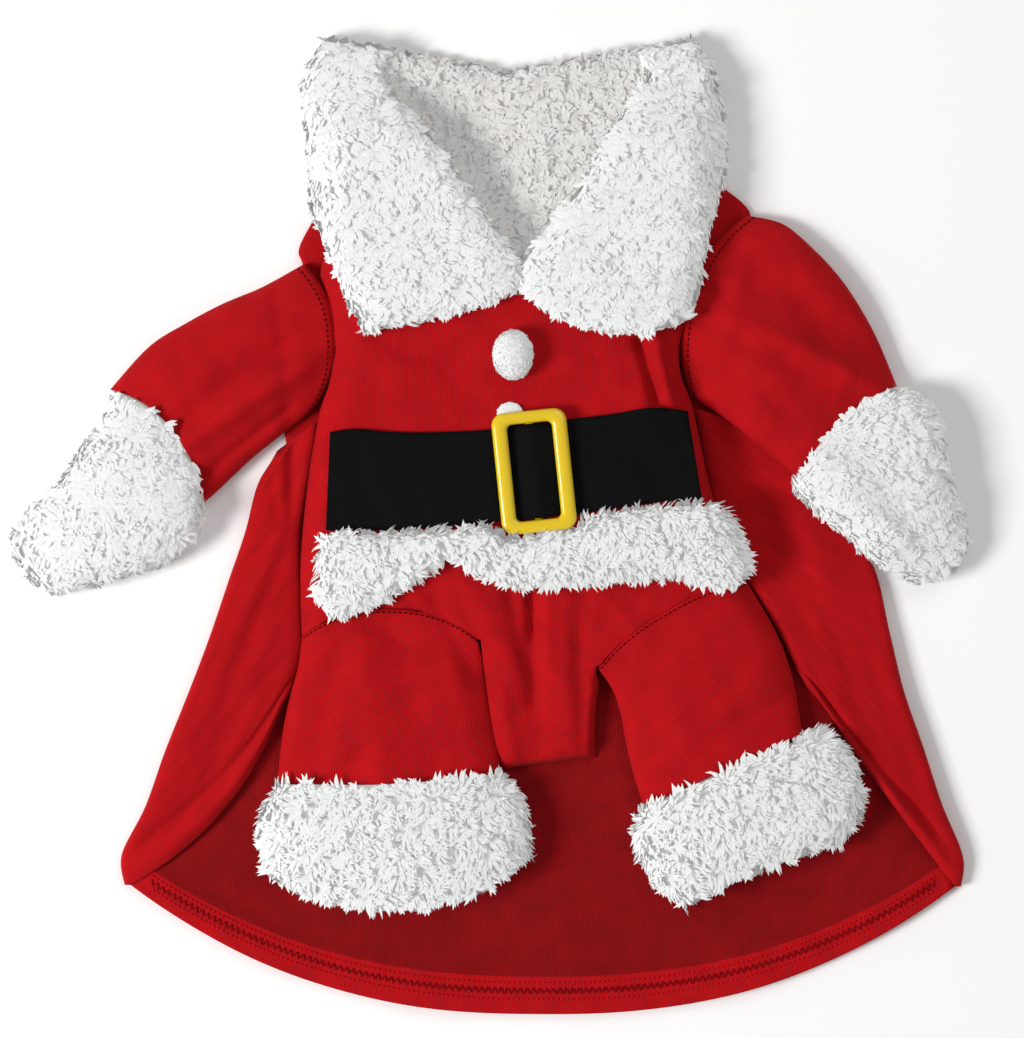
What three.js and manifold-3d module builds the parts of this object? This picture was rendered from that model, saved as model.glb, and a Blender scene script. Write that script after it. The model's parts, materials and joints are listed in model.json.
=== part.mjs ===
// A small dog's Santa costume, laid on its back on a flat surface with the belly side up.
// Millimetres; +Z up from the surface, +Y toward the collar, origin at the middle of the underside.
import * as THREE from 'three';
import { mergeVertices } from 'three/addons/utils/BufferGeometryUtils.js';
import Module from 'manifold-3d';

// ---- Driving dimensions -------------------------------------------------------------------
const KNIT = 1.6;            // wall of the brushed knit
const FLEECE = 5;            // wall of the fleece with its pile
const CUFF_WALL = 4.5;       // the same at the trouser legs' cuffs
const PILE_PAD = 7.5;        // thickness of a fleece band that lies on the knit
const SEAM = 0.3;            // gap between pieces at a seam
const WEBBING = 1.2;         // belt thickness
const TOP_FOLD = 4.5;        // where the flaps grow out of the band at the collar's top fold
const COLLAR_BACK = 8.5;     // folded collar band behind the neck, lying on the surface
const BUCKLE = {
  wide: 29.8, high: 48.2, bar: 6, endBar: 4.9, thick: 3.6, corner: 5, tilt: 6, middleBar: 3.2,
  centre: [16.7, 22],
};
const SQUARE_BOW = 2.4;      // how squarely a row hangs between its ends: 2 is a parabola
const FOLD_MARGIN = 12;      // how far in from the belly's edges the folds fade out

const { lerp, clamp, degToRad } = THREE.MathUtils;

// ---- Tables -------------------------------------------------------------------------------
const table = (names, rows) => rows.map((row) => Object.fromEntries(names.map((n, i) => [n, row[i]])));

// The belly's surface, collar to crotch: its two side edges, the crown between them, the height of
// each edge and how far in from the edge the cloth rolls up to the crown
const BELLY = table(['y', 'left', 'right', 'crown', 'leftZ', 'rightZ', 'leftRoll', 'rightRoll'], [
  [194.8, -73.6, 91.2, 13, 5, 5, 24, 24],
  [118.8, -72, 89.6, 14, 5, 5, 24, 24],
  [102.8, -69.2, 84.8, 14.5, 5, 5, 22, 20],
  [70.4, -63.2, 75.6, 16, 8, 8, 16, 14],
  [46.8, -69.6, 79.2, 17, 9, 8, 14, 10],
  [22.8, -72.8, 84.8, 17.5, 9, 7.5, 13, 8],
  [2.8, -76, 88.4, 17.5, 9, 7.5, 13, 8],
  [-10.4, -76.8, 95.6, 16.5, 9, 7.5, 13, 10],
  [-29.2, -76, 104, 15, 8.5, 8, 13, 13],
  [-45.2, -75.6, 114.4, 13.5, 8, 8, 13, 13],
  [-69.2, -81.2, 122, 11, 8, 8, 13, 13],
  [-97.2, -85.6, 124.4, 8.5, 8, 8, 13, 13],
]);

// Soft ridges (+) and troughs (-) laid into the knit: where each runs, its height and half width
const FOLDS = table(['x1', 'y1', 'x2', 'y2', 'rise', 'half'], [
  [17.6, -26, 16.4, -65.2, -1.8, 4],        // crotch pleat, valley
  [28, -28.4, 29.6, -69.2, 1.3, 5],         // crotch pleat, ridge
  [63.2, 62, 59.2, 48.8, 1.2, 5],         // chest, beside the right sleeve
  [59.2, 90.8, 72, 48.8, -1, 5],
  [-128, 29.6, -76.8, 62.4, 1.6, 6],         // left sleeve, ridge along it
  [-120.4, 16.4, -84.8, 43.6, -1.2, 5],        // left sleeve, seam line under it
  [103.2, 81.6, 153.2, 56, 1.5, 6],         // right sleeve, crease across it
  [88, 90.8, 123.2, 30.8, -1.2, 7],
  [-76.8, -45.2, -82.4, -93.2, 1, 6],           // trouser legs
  [-36.8, -45.2, -24.8, -93.2, -1, 8],
  [59.2, -65.2, 99.2, -45.2, 0.9, 7],
  [-92, 10.8, -106.8, -45.2, 1.4, 7],         // sides of the coat
  [-96.8, -45.2, -120.8, -93.2, -1.1, 7],
  [-80.8, 34.8, -80, 10.8, 1.6, 6],
  [107.2, 18.8, 143.2, -61.2, -1, 8],
  [139.2, -29.2, 165.2, -101.2, 1.3, 7],
]);

// Coat back, neck to hem: the two ends of each row at the folds, and how far its middle hangs
// below them; 'fold' is the height of the rounded side fold, 0 where the armhole leaves none
const BACK = table(['x1', 'y1', 'x2', 'y2', 'bow', 'foldLeft', 'foldRight'], [
  [-72, 121.6, 92.4, 135.6, 24.8, 0, 0],
  [-77.2, 110.8, 103.2, 125.2, 20, 0, 0],
  [-75.2, 102, 98.4, 112, 18, 0, 0],
  [-73.6, 72.8, 88, 82.8, 12, 0, 0],
  [-72.4, 43.2, 78.8, 50, 8, 0, 0],
  [-86, 30.4, 99.6, 35.6, 9.6, 7, 4.6],
  [-93.6, 16.8, 122, 19.6, 12.8, 7, 4.6],
  [-98.4, -1.6, 139.2, 2.8, 18.4, 7, 4.6],
  [-104.8, -20.4, 152.4, -15.6, 24.8, 7, 4.8],
  [-113.2, -45.2, 158.8, -42, 28.8, 7, 6.5],
  [-121.6, -67.2, 164.4, -65.2, 34, 7, 7],
  [-130.4, -89.2, 172, -87.2, 40, 7, 7],
  [-138.4, -111.6, 179.6, -110.4, 44.8, 7, 7],
  [-145.6, -128.4, 186, -129.2, 50, 6, 6],
  [-149.6, -138.8, 190, -139.6, 55.2, 5, 5],
]);
const ARMPIT_ROW = 5;        // first row of BACK with a side fold

// Sides wrapped over to the belly, one row for each BACK row from the armpit down: the front edge,
// how far the row bows out below its chord, and the height of the front edge
const SIDE_LEFT = table(['x', 'y', 'bow', 'z'], [
  [-70, 42.8, -1.2, 9], [-72, 29.6, 0, 9], [-74.8, 14.8, 0, 9], [-77.2, 0.8, 0, 9], [-77.6, -13.2, 0, 9],
  [-76.8, -29.2, 0.8, 8.5], [-76.4, -43.6, 2.4, 8], [-78.8, -54, 4.8, 8.5], [-80.8, -61.2, 7.6, 8],
  [-82.8, -67.6, 10, 4.6],
]);
const SIDE_RIGHT = table(['x', 'y', 'bow', 'z'], [
  [82.4, 48, 0, 7.5], [84.8, 34.8, 0, 7], [87.2, 20.8, 0, 7], [89.6, 7.6, 0, 7], [95.6, -8.4, 0, 7],
  [104.4, -22.8, 0, 7.2], [111.6, -34, 0, 7.5], [118.4, -46, 1.2, 8], [122.8, -55.6, 2, 8],
  [127.6, -64.4, 1.2, 4.6],
]);

// Front panel, neck to seat: the ends of each row and how far its middle hangs below them
const FRONT = table(['x1', 'y1', 'x2', 'y2', 'bow'], [
  [-63.2, 112, 86, 118.4, 19.2],
  [-68.4, 101.6, 84, 108.8, 16.8],
  [-64.8, 85.2, 78.2, 86, 8],
  [-63, 70.4, 74.4, 71.2, 3.2],
  [-64.4, 58, 75.4, 59.6, 0],
  [-68.4, 46, 78.8, 51.2, 0],
  [-71.2, 30.8, 82.4, 36.8, 0],
  [-74, 14.8, 85.2, 20.8, 0],
  [-76.4, -1.2, 87.6, 7.6, 0],
  [-76.8, -16.4, 94, -7.2, 0],
  [-76.4, -30, 98.8, -15.6, 0],
  [-75.8, -43.2, 102, -21.6, 0],
]);

// Trouser legs, leg seam to cuff seam: left and right edge of each row, bow, height
const LEG_ROW = ['x1', 'y1', 'x2', 'y2', 'bow', 'height', 'base1', 'base2'];
const LEG_LEFT = table(LEG_ROW, [
  [-75.6, -44, -5.6, -45.2, -11.6, 12.5, 2, 2],
  [-77.2, -55.2, -3.2, -54, -8.8, 13.5, 2, 2],
  [-80.4, -67.2, -1.6, -65.2, -5.6, 14, 2, 2],
  [-82.8, -78, 0.2, -76.4, -2.4, 13.5, 2, 2],
  [-84.4, -89.2, 2, -87.6, 0, 13, 2, 2],
  [-85.6, -102, 3.6, -97.6, 2, 12.5, 2, 2],
]);
const LEG_RIGHT = table(LEG_ROW, [
  [42.4, -56.4, 101.4, -21.8, -6, 12, 2, 2],
  [48, -64.8, 108.4, -33.2, -4, 13.5, 2, 2],
  [51.2, -74.4, 114.8, -45.2, -2.4, 14, 2, 2],
  [53.2, -85.2, 119.6, -59.2, 0, 13.5, 2, 2],
  [56, -97.2, 122, -71.2, 0, 13, 2, 2],
  [60.4, -111.2, 123.6, -82, 0, 12.5, 2, 2],
]);
const CUFF_LEFT = table(LEG_ROW, [
  [-86.4, -102.8, 4.8, -98.8, 2, 16, 2, 2],
  [-91.2, -111.6, 11.2, -106.4, 3.6, 19, 2, 2],
  [-92.8, -122.8, 15.2, -118.8, 9.6, 20, 2, 2],
  [-91.6, -133.2, 13.6, -129.6, 17.6, 17, 2, 2],
]);
const CUFF_RIGHT = table(LEG_ROW, [
  [60.4, -112.8, 124.8, -84, 0, 16, 2, 2],
  [56.8, -122, 134, -82, 0, 19, 2, 2],
  [60, -134, 143.2, -91.2, 0, 20, 2, 2],
  [66.8, -143.6, 147.2, -109.2, -0.8, 19, 2, 2],
  [74.4, -149.2, 140.4, -122.8, -2.8, 16, 2, 2],
]);

// Sleeves, armhole to mitt seam: upper and under edge, bow of the top half, height,
// and the height of the underside at each edge (the right one lies over the coat's side)
const SLEEVE_LEFT = table(LEG_ROW, [
  [-76.8, 104, -74.4, 44, -11.6, 11, 0, 0],
  [-92, 95.6, -87.6, 34, -6.4, 14, 0, 0],
  [-107.2, 89.2, -96.8, 26.4, -2, 15, 0, 0],
  [-121.6, 81.6, -103.6, 20, -0.8, 14.5, 0, 0],
  [-136.8, 72, -110, 14, -2.4, 14, 0, 0],
  [-152.4, 54.8, -116, 8.4, -10, 13, 0, 0],
]);
const SLEEVE_RIGHT = table(LEG_ROW, [
  [104, 124, 80.4, 51.2, 12.4, 10, 0, 0],
  [116.4, 120.8, 88.8, 46, 6, 13, 0, 1.5],
  [128, 111.2, 97.2, 40, 2, 15, 0, 5],
  [138.4, 100, 104.8, 33.6, 0, 15, 0, 6],
  [146.4, 88.4, 110.8, 28.4, 0, 14.5, 0, 6],
  [154, 74.4, 116.4, 24, 2, 14, 0, 6],
  [161.6, 56, 122, 19.2, 5.6, 13, 0, 6],
]);

// Mitts, seam to tip
const MITT_LEFT = table(LEG_ROW, [
  [-152.8, 53.2, -116, 6.2, -10, 16, 0, 0],
  [-156.8, 41.2, -115.6, -0.8, -6.8, 20, 0, 0],
  [-163.2, 33.6, -122, -8.4, -3.6, 22, 0, 0],
  [-170, 23.2, -134, -16.8, -1.2, 22.5, 0, 0],
  [-176.8, 14, -147.2, -20.4, 0, 22, 0, 0],
  [-184, 8.4, -159.6, -24.4, 0, 20, 0, 0],
  [-188.4, 1.2, -172, -26.8, 0, 16, 0, 0],
]);
const MITT_LEFT_TIP = [-188.8, -14];
const MITT_RIGHT = table(LEG_ROW, [
  [160.8, 54.4, 122, 18, 5.6, 16, 0, 6],
  [167.6, 54, 120.4, 12.8, 4, 20, 0, 6],
  [174.4, 50.4, 125.6, 7.6, 2, 22, 0, 6],
  [178.8, 43.2, 132.4, 1.2, 0, 22.5, 0, 6],
  [181.2, 30, 140.8, -4.8, 0, 22, 0, 6],
  [184, 16.8, 148.8, -12, 0, 21, 0, 5],
  [187.6, 6.4, 157.2, -17.6, 0, 18, 0, 2],
  [188.8, -2.4, 168, -22, 0, 14, 0, 0],
]);
const MITT_RIGHT_TIP = [183.2, -15.6];

// Bands that lie on the belly: top edge and bottom edge at each place along them
const BAND_ROW = ['x1', 'y1', 'x2', 'y2'];
const BELT = table(BAND_ROW, [
  [-64, 37.6, -65.6, -1.2], [-54, 38.8, -56.4, -1.6], [-38, 37.6, -34.8, -0.8], [-19.6, 37.6, -12.8, 0.4],
  [-2.8, 38.4, 1.2, 2], [5.2, 39.6, 8.4, 2.8], [11.2, 40.4, 14.4, 3.2], [16.4, 40.8, 19.6, 3.6],
  [21.6, 41.6, 24.8, 4.4], [27.6, 42.4, 30.8, 4.8], [35.2, 43.2, 39.2, 6], [48, 44.8, 53.2, 8],
  [63.6, 47.2, 68, 10], [77.6, 46, 83.2, 10.8],
]);
const TRIM = table(BAND_ROW, [
  [-66.4, -3.6, -68.8, -27.6], [-58.8, -3.6, -60.8, -34], [-48.8, -3.6, -50.4, -30.4],
  [-38.8, -3.6, -38.8, -24.4],
  [-26.8, -2.8, -26.8, -17.2], [-17.6, -2.4, -17.2, -10], [-12, -2, -11.2, -14], [-1.6, -1.2, -0.8, -19.6],
  [5.2, -6.4, 6.4, -21.6], [17.2, -5.6, 17.2, -22], [33.2, -3.6, 33.2, -20.8], [39.2, 3.2, 45.2, -20],
  [55.2, 5.6, 59.2, -18.8], [71.2, 7.6, 76, -18.8], [83.2, 8, 88, -22.4], [90.4, 6, 96.4, -21.2],
  [95.6, 0.4, 101.2, -14],
]);

// Collar: rows of the band behind the neck, neck seam to top fold, and of the two flaps, top to front
const COLLAR_ROWS = table(['x1', 'y1', 'x2', 'y2', 'bow', 'full'], [
  [-71.2, 122.4, 91.6, 136.4, 24, 2.4],
  [-71.6, 134.8, 92, 146.8, 20.8, 2.2],
  [-73.2, 150.8, 92, 159.6, 17.6, 1.8],
  [-74.4, 166.8, 90, 171.6, 14.4, 1.4],
  [-73.2, 182, 86.4, 183.6, 12.8, 1.1],
  [-65.6, 193.6, 80, 193.6, 12.4, 1],
]);
const FLAP_LEFT = table(['x1', 'y1', 'x2', 'y2', 'bow'], [
  [-65.6, 193.6, -40, 189.6, 0],
  [-73.6, 179.6, -45.6, 178.8, 0],
  [-74, 163.6, -36, 166.8, 0],
  [-71.2, 146, -24.8, 154, 0],
  [-71.2, 129.2, -14.4, 139.6, 0],
  [-64.4, 110.8, -4.8, 125.2, 0],
  [-57.6, 94, 3.2, 113.6, 0.8],
  [-53.6, 85.2, 9.6, 106, 1.6],
  [-50, 79.2, 10.4, 94.8, 2],
]);
const FLAP_RIGHT = table(['x1', 'y1', 'x2', 'y2', 'bow'], [
  [57.6, 189.2, 80, 193.6, 0],
  [63.2, 178.8, 87.2, 178.8, 0],
  [54.4, 165.6, 91.6, 158.8, 0],
  [45.2, 150, 91.2, 140.4, 0],
  [36, 134.8, 87.6, 126, 0],
  [26.4, 122, 83.6, 110.8, 0],
  [19.2, 112.4, 81.2, 96.8, 1.6],
  [12.8, 105.2, 79.2, 89.2, 6.4],
  [12.4, 94.8, 78, 84.4, 10.8],
]);

const POMPOM = { centre: [8.4, 68], wide: 17, long: 21, high: 11 };
const POMPOM_UNDER_BUCKLE = { centre: [7.2, 45.2], wide: 11, long: 9, high: 1.5 };

// ---- Reading the tables -------------------------------------------------------------------
// A row between the rows of a table, on a smooth curve through them; t runs from 0 to 1
function rowAt(rows, t) {
  const place = clamp(t, 0, 1) * (rows.length - 1);
  const i = Math.min(Math.floor(place), rows.length - 2);
  const k = place - i;
  const before = rows[Math.max(i - 1, 0)];
  const after = rows[Math.min(i + 2, rows.length - 1)];
  const curve = (a, b, c, d) => b
    + 0.5 * k * (c - a + k * (2 * a - 5 * b + 4 * c - d + k * (3 * (b - c) + d - a)));
  return Object.fromEntries(Object.keys(rows[i]).map((key) =>
    [key, curve(before[key], rows[i][key], rows[i + 1][key], after[key])]));
}

// A point part-way along a row, pushed to its right by the row's bow; 'full' squares the bow
function across(row, w, full = row.full ?? SQUARE_BOW) {
  const dx = row.x2 - row.x1;
  const dy = row.y2 - row.y1;
  const push = (row.bow ?? 0) * (1 - Math.abs(2 * w - 1) ** full) / Math.hypot(dx, dy);
  return [row.x1 + dx * w + dy * push, row.y1 + dy * w - dx * push];
}

// Height that the folds add at a place: each is a soft ridge that fades at its ends
function foldHeight(x, y) {
  let sum = 0;
  for (const { x1, y1, x2, y2, rise, half } of FOLDS) {
    const dx = x2 - x1;
    const dy = y2 - y1;
    const long = Math.hypot(dx, dy);
    const along = ((x - x1) * dx + (y - y1) * dy) / long;
    const off = ((x - x1) * dy - (y - y1) * dx) / long;
    const past = Math.max(0, -along, along - long);
    sum += rise * Math.exp(-((off / half) ** 2) - (past / (2 * half)) ** 2);
  }
  return sum;
}

// Height of the belly's upper surface
function bellyHeight(x, y) {
  const i = clamp(BELLY.findIndex((row) => row.y < y), 1, BELLY.length - 1);
  const below = y < BELLY[BELLY.length - 1].y ? BELLY.length - 1 : i;
  const a = BELLY[below - 1];
  const b = BELLY[below];
  const k = clamp((a.y - y) / (a.y - b.y), 0, 1);
  const row = Object.fromEntries(Object.keys(a).map((key) => [key, lerp(a[key], b[key], k)]));
  const roundness = 2.2;
  const roll = (d, wide) => 1 - (1 - clamp(d / wide, 0, 1)) ** roundness;
  const leftDrop = (row.crown - row.leftZ) * (1 - roll(x - row.left, row.leftRoll));
  const rightDrop = (row.crown - row.rightZ) * (1 - roll(row.right - x, row.rightRoll));
  const inside = roll(x - row.left, FOLD_MARGIN) * roll(row.right - x, FOLD_MARGIN);
  return row.crown - leftDrop - rightDrop + foldHeight(x, y) * inside;
}

// The same surface with its dips bridged, for what lies over it
function bridgedHeight(x, y, reach) {
  const steps = [-1, 0, 1];
  return Math.max(...steps.flatMap((a) => steps.map((b) => bellyHeight(x + a * reach, y + b * reach))));
}

// ---- Building closed walls ----------------------------------------------------------------
function addTriangle(skin, a, b, c) {
  if (a.distanceTo(b) < 1e-4 || b.distanceTo(c) < 1e-4 || c.distanceTo(a) < 1e-4) return;
  for (const p of [a, b, c]) skin.push(p.x, p.y, p.z);
}

function addQuad(skin, a, b, c, d) {
  addTriangle(skin, a, b, c);
  addTriangle(skin, a, c, d);
}

// Signed volume of a list of triangles, to tell whether they face outward
function volumeOf(skin) {
  const p = (i) => new THREE.Vector3(skin[i], skin[i + 1], skin[i + 2]);
  let sum = 0;
  for (let i = 0; i < skin.length; i += 9) sum += p(i).dot(p(i + 3).cross(p(i + 6)));
  return sum / 6;
}

function solid(skin) {
  const outward = volumeOf(skin) > 0;
  const points = [];
  for (let i = 0; i < skin.length; i += 9) {
    const [a, b, c] = [skin.slice(i, i + 3), skin.slice(i + 3, i + 6), skin.slice(i + 6, i + 9)];
    points.push(...a, ...(outward ? b : c), ...(outward ? c : b));
  }
  const geometry = new THREE.BufferGeometry();
  geometry.setAttribute('position', new THREE.Float32BufferAttribute(points, 3));
  return mergeVertices(geometry, 1e-4);
}

// A wall between an outer and an inner grid of points, closed along every free edge;
// 'keep' tells which cells the cloth has, and 'ring' joins the last column to the first
function wall(outer, inner, { keep = () => true, ring = false } = {}) {
  const rows = outer.length - 1;
  const count = outer[0].length;
  const columns = ring ? count : count - 1;
  const inRows = (i, j) => i >= 0 && i < rows && (ring || (j >= 0 && j < columns));
  const has = (i, j) => inRows(i, j) && keep(i, (j + columns) % columns);
  const skin = [];
  for (let i = 0; i < rows; i += 1) {
    for (let j = 0; j < columns; j += 1) {
      if (!has(i, j)) continue;
      const next = (j + 1) % count;
      const corners = [[i, j], [i + 1, j], [i + 1, next], [i, next]];
      const out = corners.map(([r, c]) => outer[r][c]);
      const inn = corners.map(([r, c]) => inner[r][c]);
      addQuad(skin, ...out);
      addQuad(skin, inn[3], inn[2], inn[1], inn[0]);
      const beside = [[i, j - 1], [i + 1, j], [i, j + 1], [i - 1, j]];
      beside.forEach(([r, c], side) => {
        const end = (side + 1) % 4;
        if (!has(r, c)) addQuad(skin, out[end], out[side], inn[side], inn[end]);
      });
    }
  }
  return solid(skin);
}

const grid = (rows, columns, point) => Array.from({ length: rows + 1 }, (_, i) =>
  Array.from({ length: columns + 1 }, (_, j) => point(i / rows, j / columns, i, j)));

// Vertical thickness that gives a sloping sheet its true wall
function slopedThickness(height, x, y) {
  const step = 1.5;
  const alongX = height(x + step, y) - height(x - step, y);
  const alongY = height(x, y + step) - height(x, y - step);
  const slope = Math.hypot(alongX, alongY);
  return KNIT * Math.min(Math.hypot(1, slope / (2 * step)), 1.7);
}

// A cushion-edged pad on a surface: top and bottom follow 'height', its rim rounds down
function pad(rows, { along, wide, thick, height, full, rim = 0.35 }) {
  const place = (t) => 0.5 - 0.5 * Math.cos(Math.PI * t) * (1 - 0.25 * Math.sin(Math.PI * t) ** 2);
  const round = (t, size) => Math.min(1, rim + (1 - rim) * Math.sqrt(Math.min(1, Math.min(t, 1 - t) * size)));
  const at = (t, w) => across(rowAt(rows, t), w, full);
  const top = grid(along, wide, (s, u) => {
    const [t, w] = [place(s), place(u)];
    const [x, y] = at(t, w);
    return new THREE.Vector3(x, y, height(x, y) + thick(t, w) * Math.min(round(t, 12), round(w, 7)));
  });
  const bottom = grid(along, wide, (s, u) => {
    const [x, y] = at(place(s), place(u));
    return new THREE.Vector3(x, y, height(x, y));
  });
  return wall(top, bottom);
}

// A flattened tube of cloth through the rows of a table, flat below and crowned above.
// 'underBow' is the bow of its underside; with a tip it closes there like a bag
function tube(rows, shape) {
  const { along, around = 20, thick, edge, full, underBow = () => 1, tip, folds = 0, seamZ } = shape;
  const ring = (t, inset, floor) => {
    const row = rowAt(rows, t);
    const width = Math.hypot(row.x2 - row.x1, row.y2 - row.y1);
    return Array.from({ length: around }, (_, j) => {
      const angle = (2 * Math.PI * j) / around;
      const lift = Math.sin(angle);
      const w = 0.5 - 0.5 * Math.cos(angle) * (1 - (2 * inset) / width);
      const bow = row.bow * (lift >= -1e-6 ? 1 : lerp(1, underBow(t), Math.min(1, -2 * lift)));
      const [x, y] = across({ ...row, bow }, w, full);
      const base = lerp(row.base1, row.base2, THREE.MathUtils.smoothstep(w, 0.5, 0.8));
      const half = Math.min(edge, row.height / 2);
      const crown = seamZ ? lerp(seamZ(x, y) - base, row.height, Math.min(1, t * 3)) : row.height;
      const up = (crown - half - inset) * Math.max(lift, 0) ** 0.7;
      const down = (half - inset) * Math.min(1, 2 * Math.max(-lift, 0));
      const ripple = folds * foldHeight(x, y) * Math.max(lift, 0);
      return new THREE.Vector3(x, y, Math.max(base + half + up - down + ripple, floor));
    });
  };
  const reach = tip ? 0.9 : 1;
  const outer = Array.from({ length: along + 1 }, (_, i) => ring(i / along, 0, 0));
  const inner = Array.from({ length: along + 1 }, (_, i) => ring((i / along) * reach, thick, thick * 0.9));
  if (tip) {
    const close = (rings, pull) => {
      const last = rings[rings.length - 1];
      const middle = last.reduce((sum, p) => sum.add(p), new THREE.Vector3()).divideScalar(around);
      const end = middle.clone().lerp(new THREE.Vector3(...tip, middle.z), pull);
      rings.push(last.map((p) => p.clone().lerp(end, 0.55)), last.map(() => end.clone()));
    };
    close(outer, 1);
    close(inner, 0.2);
  }
  return wall(outer, inner, { ring: true });
}

// ---- Joining solids -----------------------------------------------------------------------
const wasm = await Module();
wasm.setup();

function toManifold(geometry) {
  const plain = new THREE.BufferGeometry();
  plain.setAttribute('position', geometry.getAttribute('position').clone());
  plain.setIndex(geometry.index);
  const merged = mergeVertices(plain, 1e-4);
  return new wasm.Manifold(new wasm.Mesh({
    numProp: 3,
    vertProperties: Float32Array.from(merged.getAttribute('position').array),
    triVerts: Uint32Array.from(merged.index.array),
  }));
}

function join(geometries) {
  const whole = geometries.map(toManifold).reduce((a, b) => a.add(b)).simplify(0.02);
  const { vertProperties, triVerts } = whole.getMesh();
  const geometry = new THREE.BufferGeometry();
  geometry.setAttribute('position', new THREE.Float32BufferAttribute(vertProperties, 3));
  geometry.setIndex(new THREE.Uint32BufferAttribute(triVerts, 1));
  return geometry;
}

// ---- Pieces -------------------------------------------------------------------------------
// Coat back with its sides wrapped over: columns run left side, left fold, back, right fold, right side
function backPanel() {
  const SIDE = 6;
  const FLAT = 14;
  const steps = BACK.length - 1;
  const hemThickness = (i) => (i === steps ? KNIT + 0.8 : KNIT);
  const sideColumn = (i, w, left, inset) => {
    const fold = BACK[i][left ? 'foldLeft' : 'foldRight'];
    const front = (left ? SIDE_LEFT : SIDE_RIGHT)[i - ARMPIT_ROW];
    const edge = left ? [BACK[i].x1, BACK[i].y1] : [BACK[i].x2, BACK[i].y2];
    const sign = left ? 1 : -1;
    const top = edge[0] + sign * fold / 2;
    const row = { x1: front.x, y1: front.y, x2: top, y2: edge[1], bow: sign * -front.bow };
    const [x, y] = across(row, w, 2);
    const roll = i === steps - 1 ? 1.6 * Math.sin(Math.PI * Math.min(1, w + 0.1)) : 0;
    const z = fold + (front.z - fold) * (1 - w) ** 1.5 + roll + foldHeight(x, y) * Math.sin(Math.PI * w);
    return new THREE.Vector3(x, y, z - inset);
  };
  const foldColumn = (i, left, inset) => {
    const fold = BACK[i][left ? 'foldLeft' : 'foldRight'];
    const sign = left ? 1 : -1;
    const x = (left ? BACK[i].x1 : BACK[i].x2) + sign * inset;
    return new THREE.Vector3(x, left ? BACK[i].y1 : BACK[i].y2, fold / 2);
  };
  const flatColumn = (i, w, inset) => {
    const row = BACK[i];
    const shrunk = { ...row, x1: row.x1 + row.foldLeft / 2, x2: row.x2 - row.foldRight / 2 };
    return new THREE.Vector3(...across(shrunk, w), inset);
  };
  const skin = (inside) => BACK.map((row, i) => {
    const inset = inside ? hemThickness(i) : 0;
    const flatEnd = () => new THREE.Vector3(row.x1, row.y1, inset);
    const side = (left) => Array.from({ length: SIDE + 1 }, (_, j) =>
      (i < ARMPIT_ROW ? flatEnd() : sideColumn(i, j / SIDE, left, inset)));
    const flat = Array.from({ length: FLAT + 1 }, (_, j) => flatColumn(i, j / FLAT, inset));
    const fold = (left) => (i < ARMPIT_ROW ? flatEnd() : foldColumn(i, left, inset));
    return [...side(true), fold(true), ...flat, fold(false), ...side(false).reverse()];
  });
  const firstFlat = SIDE + 2;
  const keep = (i, j) => i >= ARMPIT_ROW || (j >= firstFlat && j < firstFlat + FLAT);
  return wall(skin(false), skin(true), { keep });
}

// Front panel: full rows from the neck down to the leg seams, then the crotch between the legs
function frontPanel() {
  const ACROSS = 22;
  const CROTCH = table(['x1', 'y1', 'x2', 'y2'], [
    [-4.4, -46, 41.2, -55.6], [-2.2, -54, 39.6, -63.6], [-0.6, -65.2, 38.4, -71.6],
    [1, -76.4, 38, -80.4], [4.4, -96.4, 37.6, -92],
  ]);
  const LEFT_SEAM = 9;       // columns over the left leg, then the crotch, then the right leg
  const RIGHT_SEAM = 14;
  const seat = (j) => {
    if (j <= LEFT_SEAM) {
      const [x, y] = across(LEG_LEFT[0], j / LEFT_SEAM);
      return j === LEFT_SEAM ? [CROTCH[0].x1, CROTCH[0].y1 + 1] : [x, y + 2 * SEAM];
    }
    if (j >= RIGHT_SEAM) {
      const [x, y] = across(LEG_RIGHT[0], (j - RIGHT_SEAM) / (ACROSS - RIGHT_SEAM));
      return [x - SEAM, y + 2 * SEAM];
    }
    return across(CROTCH[0], (j - LEFT_SEAM) / (RIGHT_SEAM - LEFT_SEAM));
  };
  const BODY_ROWS = 12;
  const surface = (inside) => {
    const place = ([x, y]) => {
      const z = bellyHeight(x, y);
      return new THREE.Vector3(x, y, inside ? z - slopedThickness(bellyHeight, x, y) : z);
    };
    const body = grid(BODY_ROWS, ACROSS, (t, w, i, j) => {
      const [x, y] = across(rowAt(FRONT, t), w);
      const [sx, sy] = seat(j);
      const blend = THREE.MathUtils.smoothstep(t, 0.55, 1);
      return place([lerp(x, sx, blend), lerp(y, sy, blend)]);
    });
    const crotch = CROTCH.slice(1).map((row) => Array.from({ length: ACROSS + 1 }, (_, j) =>
      place(across(row, clamp((j - LEFT_SEAM) / (RIGHT_SEAM - LEFT_SEAM), 0, 1)))));
    return [...body, ...crotch];
  };
  const keep = (i, j) => i < BODY_ROWS || (j >= LEFT_SEAM && j < RIGHT_SEAM);
  return wall(surface(false), surface(true), { keep });
}

// The belt follows the belly's surface and rises over the buckle's middle bar
function belt() {
  const ALONG = 26;
  const turn = degToRad(BUCKLE.tilt);
  const fromBar = (x, y) => (x - BUCKLE.centre[0]) * Math.cos(turn) + (y - BUCKLE.centre[1]) * Math.sin(turn);
  const rise = 2.3;            // over the middle bar
  const reach = 6;             // how far from the bar the rise fades
  const lift = (x, y) => rise * Math.exp(-((fromBar(x, y) / reach) ** 2));
  const level = (inside) => grid(ALONG, 3, (t, w) => {
    const row = rowAt(BELT, t);
    const [x, y] = across(row, w);
    return new THREE.Vector3(x, y, bridgedHeight(x, y, 2.5) + SEAM + lift(x, y) + (inside ? 0 : WEBBING));
  });
  return wall(level(false), level(true));
}

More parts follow.
